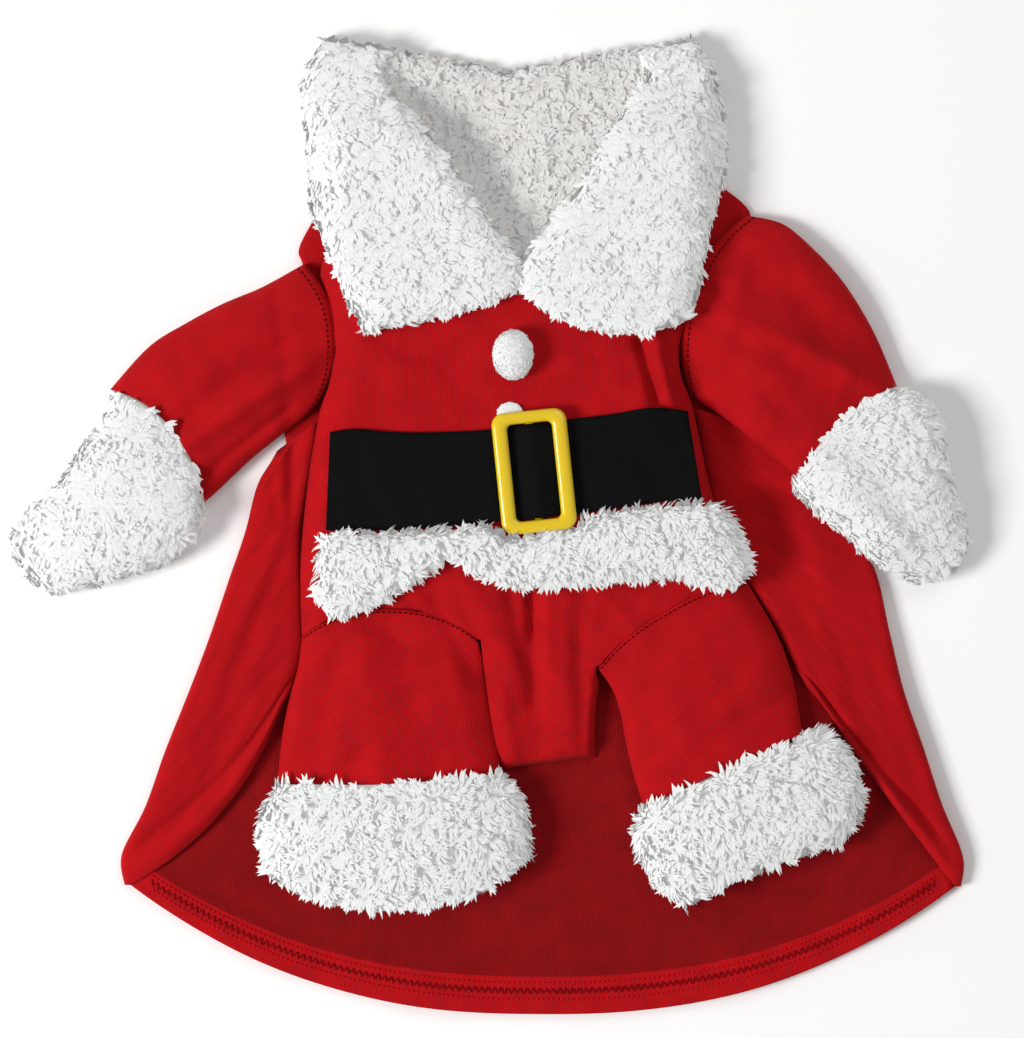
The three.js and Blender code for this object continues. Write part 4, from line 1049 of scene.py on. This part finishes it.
collar_band, collar_band_points = pad(
    "collar_band_fleece", "collar", COLLAR_BAND, 28, 44, COLLAR_BACK, lambda x, y: 0 * x, rim=0.5,
    finish=lining_fleece, hollow=4)
flap_shape = dict(along=32, wide=22, thick=PILE_PAD + 1, height=flap_floor, rim=0.45)
flap_left, flap_left_points = pad("collar_flap_left_fleece", "collar", FLAP_LEFT, **flap_shape)
flap_right, flap_right_points = pad("collar_flap_right_fleece", "collar", FLAP_RIGHT, **flap_shape)
coat_trim, coat_trim_points = pad(
    "coat_trim_fleece", "coat_trim", TRIM, 56, 12, PILE_PAD - 1, trim_floor)

# %% [markdown]
# ## The pile
#
# The fleece is curly: fine fibres stand in small locks that lean together, bend over and twist.
# Blender's hair system would be quick to set up, but hair isn't a mesh and wouldn't survive an
# export. So each lock is a thin tapered body of sixteen triangles, and thousands of them are made
# at once from arrays. Locks near each other share a clump: they lean the same way and their tips
# are drawn together.

# %% Scattering roots on a grid
FACES_DOWN = -0.7       # no pile grows where the normal points lower than this
ROOTS_FROM = 1.5        # nor lower than this above the floor
# Any large, unrelated numbers: they turn a cell's place into its random numbers
HASH = np.array([[127.1, 311.7, 74.7], [269.5, 183.3, 246.1], [113.5, 271.9, 124.6]])
HASH_SCALES = (43758.5453, 24634.6345)


def cells(points, ring):
    """The four corners of each cell, its middle, its area and its outward normal."""
    columns = points.shape[1] - (0 if ring else 1)
    right, near = np.roll(points, -1, 1)[:, :columns], points[:, :columns]
    a, b, c, d = near[:-1], near[1:], right[1:], right[:-1]
    cross, middle = np.cross(c - a, d - b) / 2, (a + b + c + d) / 4
    away = middle - points.mean(axis=1)[:-1, None] if ring else UPWARD
    cross = cross * np.sign((cross * away).sum())
    return (a, b, c, d), middle, np.linalg.norm(cross, axis=-1), unit(cross)


def scatter(points, density, rng, ring=False, allow=None):
    """Random places by area, each with its normal, the grid's directions and how far down it is."""
    (a, b, c, d), middle, area, normal = cells(points, ring)
    chance = area * (normal[..., 2] > FACES_DOWN) * (middle[..., 2] > ROOTS_FROM)
    if allow is not None:
        chance = chance * allow(middle)
    count = int(chance.sum() * density * DETAIL)
    chosen = rng.choice(chance.size, count, p=(chance / chance.sum()).ravel())
    i, j = np.divmod(chosen, area.shape[1])
    r, s = rng.random((2, count, 1))
    spot = mix(mix(a[i, j], b[i, j], r), mix(d[i, j], c[i, j], r), s)
    down = mix(b[i, j] - a[i, j], c[i, j] - d[i, j], s)
    over = mix(d[i, j] - a[i, j], c[i, j] - b[i, j], r)
    return spot, normal[i, j], unit(down), unit(over), (i[:, None] + r) / len(area)


def swirl(spots, size, seed):
    """A smooth random vector field: four sine waves for each axis, 'size' mm long."""
    rng = np.random.default_rng(seed)
    waves = rng.normal(size=(4, 3, 3)) * 2 * np.pi / size
    return sum(np.sin(spots @ wave + rng.uniform(0, 7, 3)) for wave in waves) / 2


def clump_of(spots, size):
    """The nearest centre of a jittered cubic lattice, and three random numbers for it."""
    cell = np.floor(spots / size)
    best, centre, tag = np.full(len(spots), np.inf), np.zeros_like(spots), np.zeros_like(spots)
    for step in np.stack(np.meshgrid((-1, 0, 1), (-1, 0, 1), (-1, 0, 1)), -1).reshape(-1, 3):
        other = cell + step
        noise = np.sin(other @ HASH) * HASH_SCALES[0]
        chosen = (other + (noise - np.floor(noise))) * size
        far = np.linalg.norm(chosen - spots, axis=1)
        closer = far < best
        best = np.where(closer, far, best)
        centre = np.where(closer[:, None], chosen, centre)
        more = np.sin(other @ HASH.T + 3) * HASH_SCALES[1]
        tag = np.where(closer[:, None], (more - np.floor(more)) * 2 - 1, tag)
    return centre, tag


def repeated(blocks, count, step):
    """The faces of one small body, copied for 'count' bodies whose points lie 'step' apart."""
    first = np.arange(count)[:, None, None] * step
    return [(first + np.array(block)[None]).reshape(-1, len(block[0])) for block in blocks]


# %% Growing the locks
SOFTNESS = 0.86         # how far a lock's shading follows the cloth under it, as soft light does
FLATNESS = 0.3          # a lock's thickness in its width
LOCK_POINTS = 10        # three rings of three points and the tip
TAPER = (0.9, 1.1, 0.8)                 # a lock's radius at its three rings, as shares
ROOT_DEPTH = 0.3        # how deep a lock stands in the backing
LOWEST_LOCK = 0.2       # no lock reaches lower than this
CLUMP_LEAN, DRIFT_LEAN, OWN_LEAN = 0.7, 0.7, 0.22       # what turns a lock: clump, drift, itself
DRIFT = 18              # mm from one sway of the drift to the next
SKY_TILT, SKY_LEAST = 0.4, 0.45         # shading is tilted upward, so that no lock turns dark
# Painted shade: a lock is coloured darker at its root, deep in the pile, and lighter toward its
# tip.
PAINTED_ROOT_SHADE, PAINTED_TIP_LIFT = 0.1, 0.85         # a lock's shade at its root, and what its tip adds
CLUMP_TONE, OWN_TONE = 0.12, 0.08       # how far the shade differs between clumps and locks


def grow(name, spots, up, flow, length, width, clump, lay, curl, seed, pull=0.55, stand=0.9):
    """Locks on a spine of three steps that bends from 'stand' to 'lay' radians off the normal."""
    rng = np.random.default_rng(seed)
    count = len(spots)
    centre, tag = clump_of(spots, clump)
    lean = flow + CLUMP_LEAN * tag + DRIFT_LEAN * swirl(spots, DRIFT, seed)
    lean = lean + OWN_LEAN * rng.normal(size=spots.shape)
    lean = unit(lean - (lean * up).sum(1, keepdims=True) * up)
    side = np.cross(up, lean)
    length = (length * rng.uniform(0.72, 1.25, count) * (1 + 0.2 * tag[:, 0]))[:, None]
    radius = (0.5 * width * rng.uniform(0.75, 1.3, count))[:, None]
    final = (lay * (1 + 0.22 * tag[:, 1]) * rng.uniform(0.85, 1.15, count))[:, None]
    twist = curl * tag[:, 2:3] * 1.6 + 0.5 * rng.normal(size=(count, 1))
    toward = centre - spots
    toward = toward - (toward * up).sum(1, keepdims=True) * up
    spine = spots - up * ROOT_DEPTH
    rings, shading = [], []
    for station in range(4):
        s = station / 3
        bend, turn = mix(stand, final, s), twist * s
        over = lean * np.cos(turn) + side * np.sin(turn)
        ahead = up * np.cos(bend) + over * np.sin(bend)
        here = spine + toward * pull * s * s
        if station < 3:
            right = unit(np.cross(up, over))
            above = np.cross(ahead, right)
            for corner in (math.pi / 2, math.pi * 7 / 6, math.pi * 11 / 6):
                ray = right * math.cos(corner) + FLATNESS * above * math.sin(corner)
                rings.append(here + radius * TAPER[station] * ray)
                shading.append(unit(mix(unit(ray), up, SOFTNESS)))
            spine = spine + ahead * length / 3
        else:
            rings.append(here)
            shading.append(unit(mix(ahead, up, SOFTNESS)))
    points, shading = (np.stack(part, axis=1).reshape(-1, 3) for part in (rings, shading))
    lowest = points[:, 2].reshape(count, LOCK_POINTS).min(1)
    points[:, 2] += np.repeat(np.maximum(LOWEST_LOCK - lowest, 0), LOCK_POINTS)
    shading[:, 2] = np.maximum(shading[:, 2] + SKY_TILT, SKY_LEAST)
    quads = [(a + k, a + (k + 1) % 3, a + 3 + (k + 1) % 3, a + 3 + k)
             for a in (0, 3) for k in range(3)]
    ends = [(6, 7, 9), (7, 8, 9), (8, 6, 9), (2, 1, 0)]
    faces = repeated((quads, ends), count, LOCK_POINTS)
    depth = np.repeat([0, 1 / 3, 2 / 3], 3).tolist() + [1.0]
    tone = CLUMP_TONE * tag[:, 0:1] + rng.uniform(-OWN_TONE, OWN_TONE, (count, 1))
    # Painted shade darkens each lock toward its root. The clump's tone and the lock's own tone are
    # random.
    values = np.clip(PAINTED_ROOT_SHADE + PAINTED_TIP_LIFT * np.array(depth)[None] + tone, 0, 1).ravel()
    return make_mesh(name, points, faces, values=values, shading=unit(shading))


def coat_of_locks(name, points, density, seed, ring=False, allow=None, along=1.0, aside=0.0,
                  overhang=0.0, finish=None, **shape):
    """Grows locks over a backing; over the first part, 'overhang', they lean back over the seam."""
    spots, up, down, over, far = scatter(points, density, np.random.default_rng(seed), ring, allow)
    flow = (mix(-0.6, along, smooth(far, 0, overhang)) if overhang else along) * down + aside * over
    piece = grow(name, spots, up, flow, seed=seed, **shape)
    return dress(piece, finish or white_fleece, "white_fleece")


UNDER_FLAP = 3          # the band's pile thins out this far in under a flap's edges


def open_band(middle):
    """Full pile on the band inside the V and outside the flaps, little under them."""
    x, y = middle[..., 0], middle[..., 1]
    bare = np.zeros(x.shape, bool)
    for flap, outer, inner in ((FLAP_LEFT, "1", "2"), (FLAP_RIGHT, "2", "1")):
        out_x = np.interp(-y, -flap["y" + outer], flap["x" + outer])
        in_x = np.interp(-y, -flap["y" + inner], flap["x" + inner])
        low, high = np.minimum(out_x, in_x), np.maximum(out_x, in_x)
        bare |= (x > low + UNDER_FLAP) & (x < high - UNDER_FLAP)
    return np.where(bare, 0.1, 1.0)


def fuller_end(middle):
    """Twice the pile over the last eighth of a tube, where it hangs over the edge."""
    return 1 + (np.arange(len(middle)) > 0.87 * len(middle))[:, None] + 0 * middle[..., 0]


# %% Pile of each fleece piece
mitt_look = dict(density=0.88, ring=True, length=4.2, width=2.0, clump=4.4, lay=1.62, curl=1.1,
                 along=0.5, overhang=0.08, allow=fuller_end)
mitt_left_pile = coat_of_locks("mitt_left_pile", mitt_left_points, seed=11, **mitt_look)
mitt_right_pile = coat_of_locks("mitt_right_pile", mitt_right_points, seed=12, **mitt_look)
cuff_look = dict(density=0.94, ring=True, length=5.4, width=1.8, clump=3.8, lay=1.42, stand=0.7,
                 curl=0.8, along=0.9, overhang=0.22, allow=fuller_end)
cuff_left_pile = coat_of_locks("leg_cuff_left_pile", cuff_left_points, seed=13, **cuff_look)
cuff_right_pile = coat_of_locks("leg_cuff_right_pile", cuff_right_points, seed=14, **cuff_look)
collar_band_pile = coat_of_locks("collar_band_pile", collar_band_points, 0.78, seed=15,
                                 allow=open_band, along=0.3, finish=lining_fleece, length=4.0,
                                 width=1.9, clump=4.2, lay=1.55, curl=1.5)
flap_look = dict(density=0.86, length=4.8, width=2.3, clump=4.6, lay=1.6, curl=0.9, along=0.8)
flap_left_pile = coat_of_locks("collar_flap_left_pile", flap_left_points, seed=16, **flap_look)
flap_right_pile = coat_of_locks("collar_flap_right_pile", flap_right_points, seed=17, **flap_look)
trim_pile = coat_of_locks("coat_trim_pile", coat_trim_points, 1.12, seed=18, along=0.0, aside=0.9,
                          length=5.0, width=1.75, clump=3.0, lay=1.36, stand=0.6, curl=0.8)

# %% [markdown]
# ## Belt and buckle
#
# The belt is a strip of black webbing over the belly. It rises over the buckle's middle bar, and
# the rest of the buckle is a glossy moulding on top of it. The buckle's frame is a rounded profile
# carried round a rounded rectangle, which gives soft edges without a bevel.

# %% Belt
def from_bar(x, y):
    """Distance from the buckle's middle bar, measured square to it."""
    turn = math.radians(BUCKLE["tilt"])
    return (x - BUCKLE["centre"][0]) * math.cos(turn) + (y - BUCKLE["centre"][1]) * math.sin(turn)


def belt_points(up):
    """The strip on the bridged belly, lifted by 2.3·exp(-(distance/6)²) over the bar."""
    t, w = unit_grid(120, 24)
    x, y = across(row_at(BELT, t), w)
    edge = 0.18 * (1 - smooth(np.minimum(w, 1 - w), 0, 0.06))
    ripple = 0.15 * np.sin(x / 7 + y / 15) * smooth(np.abs(from_bar(x, y)), 12, 24)
    lift = 2.3 * np.exp(-(from_bar(x, y) / 6) ** 2)
    z = bridged(x, y, 2.5) + SEAM + lift + ripple + (WEBBING - edge if up else edge)
    return np.stack([x, y, z], -1)


belt_top = belt_points(True)
belt_uv = np.tile(measured_uv(belt_top, 12), (2, 1))
belt = make_mesh("belt_webbing", *shell(belt_top, belt_points(False)), uv=belt_uv, weld=True)
dress(belt, webbing_material, "black_webbing", "belt")


# %% Buckle
def frame_ring(half_wide, half_high, radius, steps=8):
    """Points round a rounded rectangle, with 'steps' steps to a corner."""
    corners = []
    for cx, cy, start in ((1, 1, 0), (-1, 1, 90), (-1, -1, 180), (1, -1, 270)):
        angle = np.radians(start + np.linspace(0, 90, steps + 1))
        corners.append(np.stack([cx * (half_wide - radius) + radius * np.cos(angle),
                                 cy * (half_high - radius) + radius * np.sin(angle)], -1))
    return np.concatenate(corners)


def buckle_mesh():
    """The frame, a rounded section from outer to inner outline, and the bar under the belt."""
    b = BUCKLE
    centre_x, centre_y = b["centre"]
    level = resting_level(centre_x, centre_y, 14, 22)
    low = WEBBING + SEAM + 0.3
    high = low + b["thick"]
    outer = frame_ring(b["wide"] / 2, b["high"] / 2, b["corner"])
    inner = frame_ring(b["wide"] / 2 - b["bar"], b["high"] / 2 - b["end_bar"], 2.2)
    section = [(0.0, 0.5), (0.0, 0.25), (0.06, 0.08), (0.2, 0.0), (0.5, 0.0), (0.8, 0.0),
               (0.94, 0.08), (1.0, 0.25), (1.0, 0.55), (0.93, 0.8), (0.78, 0.94), (0.5, 1.0),
               (0.22, 0.94), (0.07, 0.8)]
    rings = [np.column_stack([mix(outer, inner, k), np.full(len(outer), mix(low, high, h))])
             for k, h in section]
    points = np.stack(rings, 1)
    index = np.arange(points.shape[0] * points.shape[1]).reshape(points.shape[:2])
    around, up = np.roll(index, -1, 0), np.roll(index, -1, 1)
    quads = np.stack([index, around, np.roll(around, -1, 1), up], -1).reshape(-1, 4)
    bar = bar_mesh(b["high"] / 2 - b["end_bar"] + 1.2)
    points = np.concatenate([points.reshape(-1, 3), bar[0]])
    faces = [np.concatenate([quads, bar[1] + index.size])]
    turn = math.radians(b["tilt"])
    cosine, sine = math.cos(turn), math.sin(turn)
    rotate = np.array([[cosine, sine, 0], [-sine, cosine, 0], [0, 0, 1]])
    return points @ rotate + np.array([centre_x, centre_y, level]), faces


def bar_mesh(half_long):
    """The middle bar: a rounded section 3.2 × 1.4 mm that rises into the frame at both ends."""
    s = np.linspace(-1, 1, 25)
    rise = 1.9 * smooth(np.abs(s), 0.86, 1.0)
    around = 12
    angle = angles_round(around)
    x = 1.6 * np.sign(np.cos(angle)) * np.abs(np.cos(angle)) ** 0.7
    z = 0.7 + 0.7 * np.sign(np.sin(angle)) * np.abs(np.sin(angle)) ** 0.7
    rings = np.stack([x + 0 * s[:, None], s[:, None] * half_long + 0 * x, z + rise[:, None]], -1)
    ends = [np.repeat(rings[k].mean(0)[None], around, 0)[None] for k in (0, -1)]
    rings = np.concatenate([ends[0], rings, ends[1]])
    return rings.reshape(-1, 3), loop_quads(len(rings), around)


buckle = make_mesh("buckle_plastic", *buckle_mesh(), weld=True)
dress(buckle, yellow_plastic, "yellow_plastic", "buckle")

# %% [markdown]
# ## Pompoms
#
# Two balls of cut yarn on the coat's front: a whole one above the buckle, and a sliver of a second
# one that the buckle covers. Their locks are short, fine and close together.

# %% Pompoms
def pompom(node, centre_x, centre_y, wide, long, high, seed):
    """A dome: its rings at angle a have the radius cos(a) and the height 0.32 + 0.68·sin(a)."""
    level = resting_level(centre_x, centre_y, wide / 3, long / 3)
    lowest, around = -0.5, 28       # the lowest ring's angle and the points round a ring
    core = 0.93                     # the ball's share of the size; the pile is the rest
    slope, angle = np.meshgrid(np.linspace(lowest, np.pi / 2, 15), angles_round(around),
                               indexing="ij")
    base = 0.32 + 0.68 * math.sin(lowest)
    x = centre_x + core * wide / 2 * np.cos(slope) * np.cos(angle)
    y = centre_y + core * long / 2 * np.cos(slope) * np.sin(angle)
    z = level + core * high * (0.32 + 0.68 * np.sin(slope) - base) / (1 - base)
    dome = np.stack([x, y, z], -1)
    foot = np.repeat(dome[0].mean(0)[None, None], around, 1)
    points = np.concatenate([foot, dome])
    quads = loop_quads(len(points), around)
    ball = make_mesh(node + "_yarn", points.reshape(-1, 3), quads, weld=True)
    dress(ball, white_fleece, "white_fleece", node)
    roots, up, *_ = scatter(dome, 2.2, np.random.default_rng(seed), ring=True)
    locks = grow(node + "_pile", roots, up, 0 * up, length=min(1.2, 0.4 * high), width=0.9,
                 clump=1.6, lay=1.5, stand=0.7, curl=0.9, pull=0.3, seed=seed)
    dress(locks, white_fleece, "white_fleece")


pompom("pompom_upper", 8.4, 68, wide=17, long=21, high=11, seed=21)
pompom("pompom_lower", 7.2, 45.2, wide=11, long=9, high=1.5, seed=22)

# %% [markdown]
# ## Stitches
#
# Seams show as a dotted line of short stitches, and the hem has a coverstitch: two rows with a
# zigzag between them. A stitch is a small capsule, and each seam is one mesh made from its path.

# %% Capsules along a path
def spaced(path, pitch):
    """Places and directions every 'pitch' mm along a path of points."""
    steps = np.linalg.norm(np.diff(path, axis=0), axis=1)
    far = np.concatenate([[0], np.cumsum(steps)])
    at = np.arange(pitch / 2, far[-1], pitch)
    spots = np.stack([np.interp(at, far, path[:, k]) for k in range(3)], -1)
    ahead = np.stack([np.interp(at + 0.3, far, path[:, k]) for k in range(3)], -1)
    behind = np.stack([np.interp(at - 0.3, far, path[:, k]) for k in range(3)], -1)
    return spots, unit(ahead - behind)


def capsules(spots, ahead, long, radius):
    """Six-sided capsules: two rings at ±0.3 of the length and a point at each end."""
    right = unit(np.cross(ahead, UPWARD))
    above = np.cross(right, ahead)
    parts = [spots - ahead * long / 2]
    for place in (-0.3, 0.3):
        for turn in np.arange(6) * math.pi / 3:
            ray = right * math.cos(turn) + above * math.sin(turn)
            parts.append(spots + ahead * long * place + radius * ray)
    parts.append(spots + ahead * long / 2)
    points = np.stack(parts, 1).reshape(-1, 3)
    sides = [(1 + k, 1 + (k + 1) % 6, 7 + (k + 1) % 6, 7 + k) for k in range(6)]
    caps = [(0, 1 + (k + 1) % 6, 1 + k) for k in range(6)]
    caps += [(13, 7 + k, 7 + (k + 1) % 6) for k in range(6)]
    return points, repeated((sides, caps), len(spots), 14)


def stitch_line(name, path, pitch, long, radius, finish):
    """One seam's stitches as one piece."""
    spots, ahead = spaced(path, pitch)
    return dress(make_mesh(name, *capsules(spots, ahead, long, radius)), finish, "red_knit")


def seam_of(points, row, lift=0.25):
    """The upper half of one ring of a tube, a little above the cloth."""
    half = points.shape[1] // 2
    return points[row, 2:half - 1] + lift * UPWARD


# %% Seam lines
seam_look = dict(pitch=2.2, long=1.5, radius=0.28, finish=dark_thread)
armhole_left, armhole_right, leg_seam_left, leg_seam_right = (
    stitch_line(name + "_stitches", seam_of(points, 2), **seam_look)
    for name, points in (("armhole_left", sleeve_left_points),
                         ("armhole_right", sleeve_right_points),
                         ("leg_left", leg_left_points), ("leg_right", leg_right_points)))


def hem_path(place):
    """A line along the inside of the hem, at a place counted in rows of the back panel."""
    row_index = int(round(place * BACK_CELLS))
    path = back_inner[row_index, side_columns + 2:side_columns + FLAT_CELLS - 1].copy()
    path[:, 2] += 0.35
    return path


hem_look = dict(pitch=2.0, long=1.5, radius=0.3, finish=red_thread)
upper_path, lower_path = hem_path(13.15), hem_path(13.52)
hem_upper = stitch_line("hem_stitches_upper", upper_path, **hem_look)
hem_lower = stitch_line("hem_stitches_lower", lower_path, **hem_look)
zigzag_spots, zigzag_ahead = spaced((upper_path + lower_path) / 2, 1.3)
across_hem = np.cross(UPWARD, zigzag_ahead)
turns = np.where(np.arange(len(zigzag_spots)) % 2, 1.0, -1.0)[:, None]
uneven = np.random.default_rng(51).uniform(0.3, 0.9, turns.shape)
zigzag_ahead = unit(uneven * zigzag_ahead + turns * across_hem)
hem_zigzag = make_mesh("hem_zigzag", *capsules(zigzag_spots, zigzag_ahead, 3.2, 0.26))
dress(hem_zigzag, hem_thread, "red_knit")

# %% [markdown]
# ## How each cloth was cut
#
# A table lists each cloth's cut: its width and length in metres, measured all round on a tube, its
# area, how the cloth is held, what it rests on and what is on it. Only the area is used: it is
# printed beside half the piece's surface.

# %% Cut sizes
CUTS = (
    # piece, width, length, area of the cut, held, what it rests on, pieces on it
    (back_panel, 0.50, 0.33, 0.086, "folded", (), (hem_upper, hem_lower, hem_zigzag)),
    (front_panel, 0.18, 0.215, 0.0252, "laid", (back_panel,), ()),
    (sleeve_left, 0.130, 0.082, 0.0090, "laid", (), (armhole_left,)),
    (sleeve_right, 0.140, 0.092, 0.0110, "laid", (back_panel,), (armhole_right,)),
    (leg_left, 0.186, 0.060, 0.0109, "laid", (back_panel,), (leg_seam_left,)),
    (leg_right, 0.162, 0.064, 0.0097, "laid", (back_panel,), (leg_seam_right,)),
    (mitt_left, 0.136, 0.078, 0.0077, "laid", (), (mitt_left_pile,)),
    (mitt_right, 0.128, 0.078, 0.0072, "laid", (), (mitt_right_pile,)),
    (cuff_left, 0.226, 0.041, 0.0090, "laid", (back_panel,), (cuff_left_pile,)),
    (cuff_right, 0.200, 0.042, 0.0071, "laid", (back_panel,), (cuff_right_pile,)),
    (collar_band, 0.166, 0.086, 0.0131, "laid", (), (collar_band_pile,)),
    (flap_left, 0.086, 0.112, 0.0065, "folded", (front_panel, collar_band), (flap_left_pile,)),
    (flap_right, 0.082, 0.108, 0.0063, "folded", (front_panel, collar_band), (flap_right_pile,)),
    (coat_trim, 0.172, 0.034, 0.0041, "laid", (front_panel,), (trim_pile,)),
    (belt, 0.150, 0.039, 0.0057, "laid", (front_panel,), ()),
)
for piece, cut_width, cut_length, cut_area, held, below, on_it in CUTS:
    print(f"{piece.name}: cut {cut_area:.4f} m², half surface {half_surface(piece):.4f} m²")
print("triangles in all:", sum(triangles))

# %% [markdown]
# ## Floor, light and camera
#
# A pale floor, a soft lamp from the left, a weak one from the upper right and a bright sky are the
# light of a small product studio. The camera looks straight down and frames the whole costume.

# %% Floor and light
floor_mesh = bpy.data.meshes.new("floor")
floor_mesh.from_pydata([(-4, -4, 0), (4, -4, 0), (4, 4, 0), (-4, 4, 0)], [], [(0, 1, 2, 3)])
floor = new_object("floor", floor_mesh)
floor.location.z = -0.0003
pale = new_material("Pale floor", Base_Color=(0.93, 0.93, 0.925, 1), Roughness=0.9)[0]
floor_mesh.materials.append(pale)

world = bpy.data.worlds.new("Studio")
world.use_nodes = True
sky = world.node_tree.nodes["Background"].inputs
sky["Color"].default_value, sky["Strength"].default_value = (1, 1, 1, 1), 0.4
bpy.context.scene.world = world


def lamp(name, place, size, watts):
    """A square area lamp that faces the costume."""
    light = bpy.data.lights.new(name, "AREA")
    light.size, light.energy = size, watts
    made = new_object(name, light)
    made.location = place
    made.rotation_euler = (-Vector(place)).to_track_quat("-Z", "Y").to_euler()


lamp("key", (-1.9, -0.5, 1.6), 0.8, 60)
lamp("fill", (0.9, 1.2, 1.6), 1.2, 8)
bpy.context.scene.view_settings.view_transform = "Standard"

# %% Camera
VIEW_CENTRE = (8.0, 3.2)      # middle of the view on the floor
VIEW_HIGH = 415.2             # height of the view on the floor
CAMERA_UP = 1600.0            # height of the camera above the floor
SENSOR_HIGH = 24
camera_data = bpy.data.cameras.new("camera")
camera_data.sensor_fit = "VERTICAL"
camera_data.sensor_height = SENSOR_HIGH
camera_data.lens = SENSOR_HIGH * CAMERA_UP / VIEW_HIGH
camera = new_object("camera", camera_data)
camera.location = (VIEW_CENTRE[0] * MM, VIEW_CENTRE[1] * MM, CAMERA_UP * MM)
bpy.context.scene.camera = camera
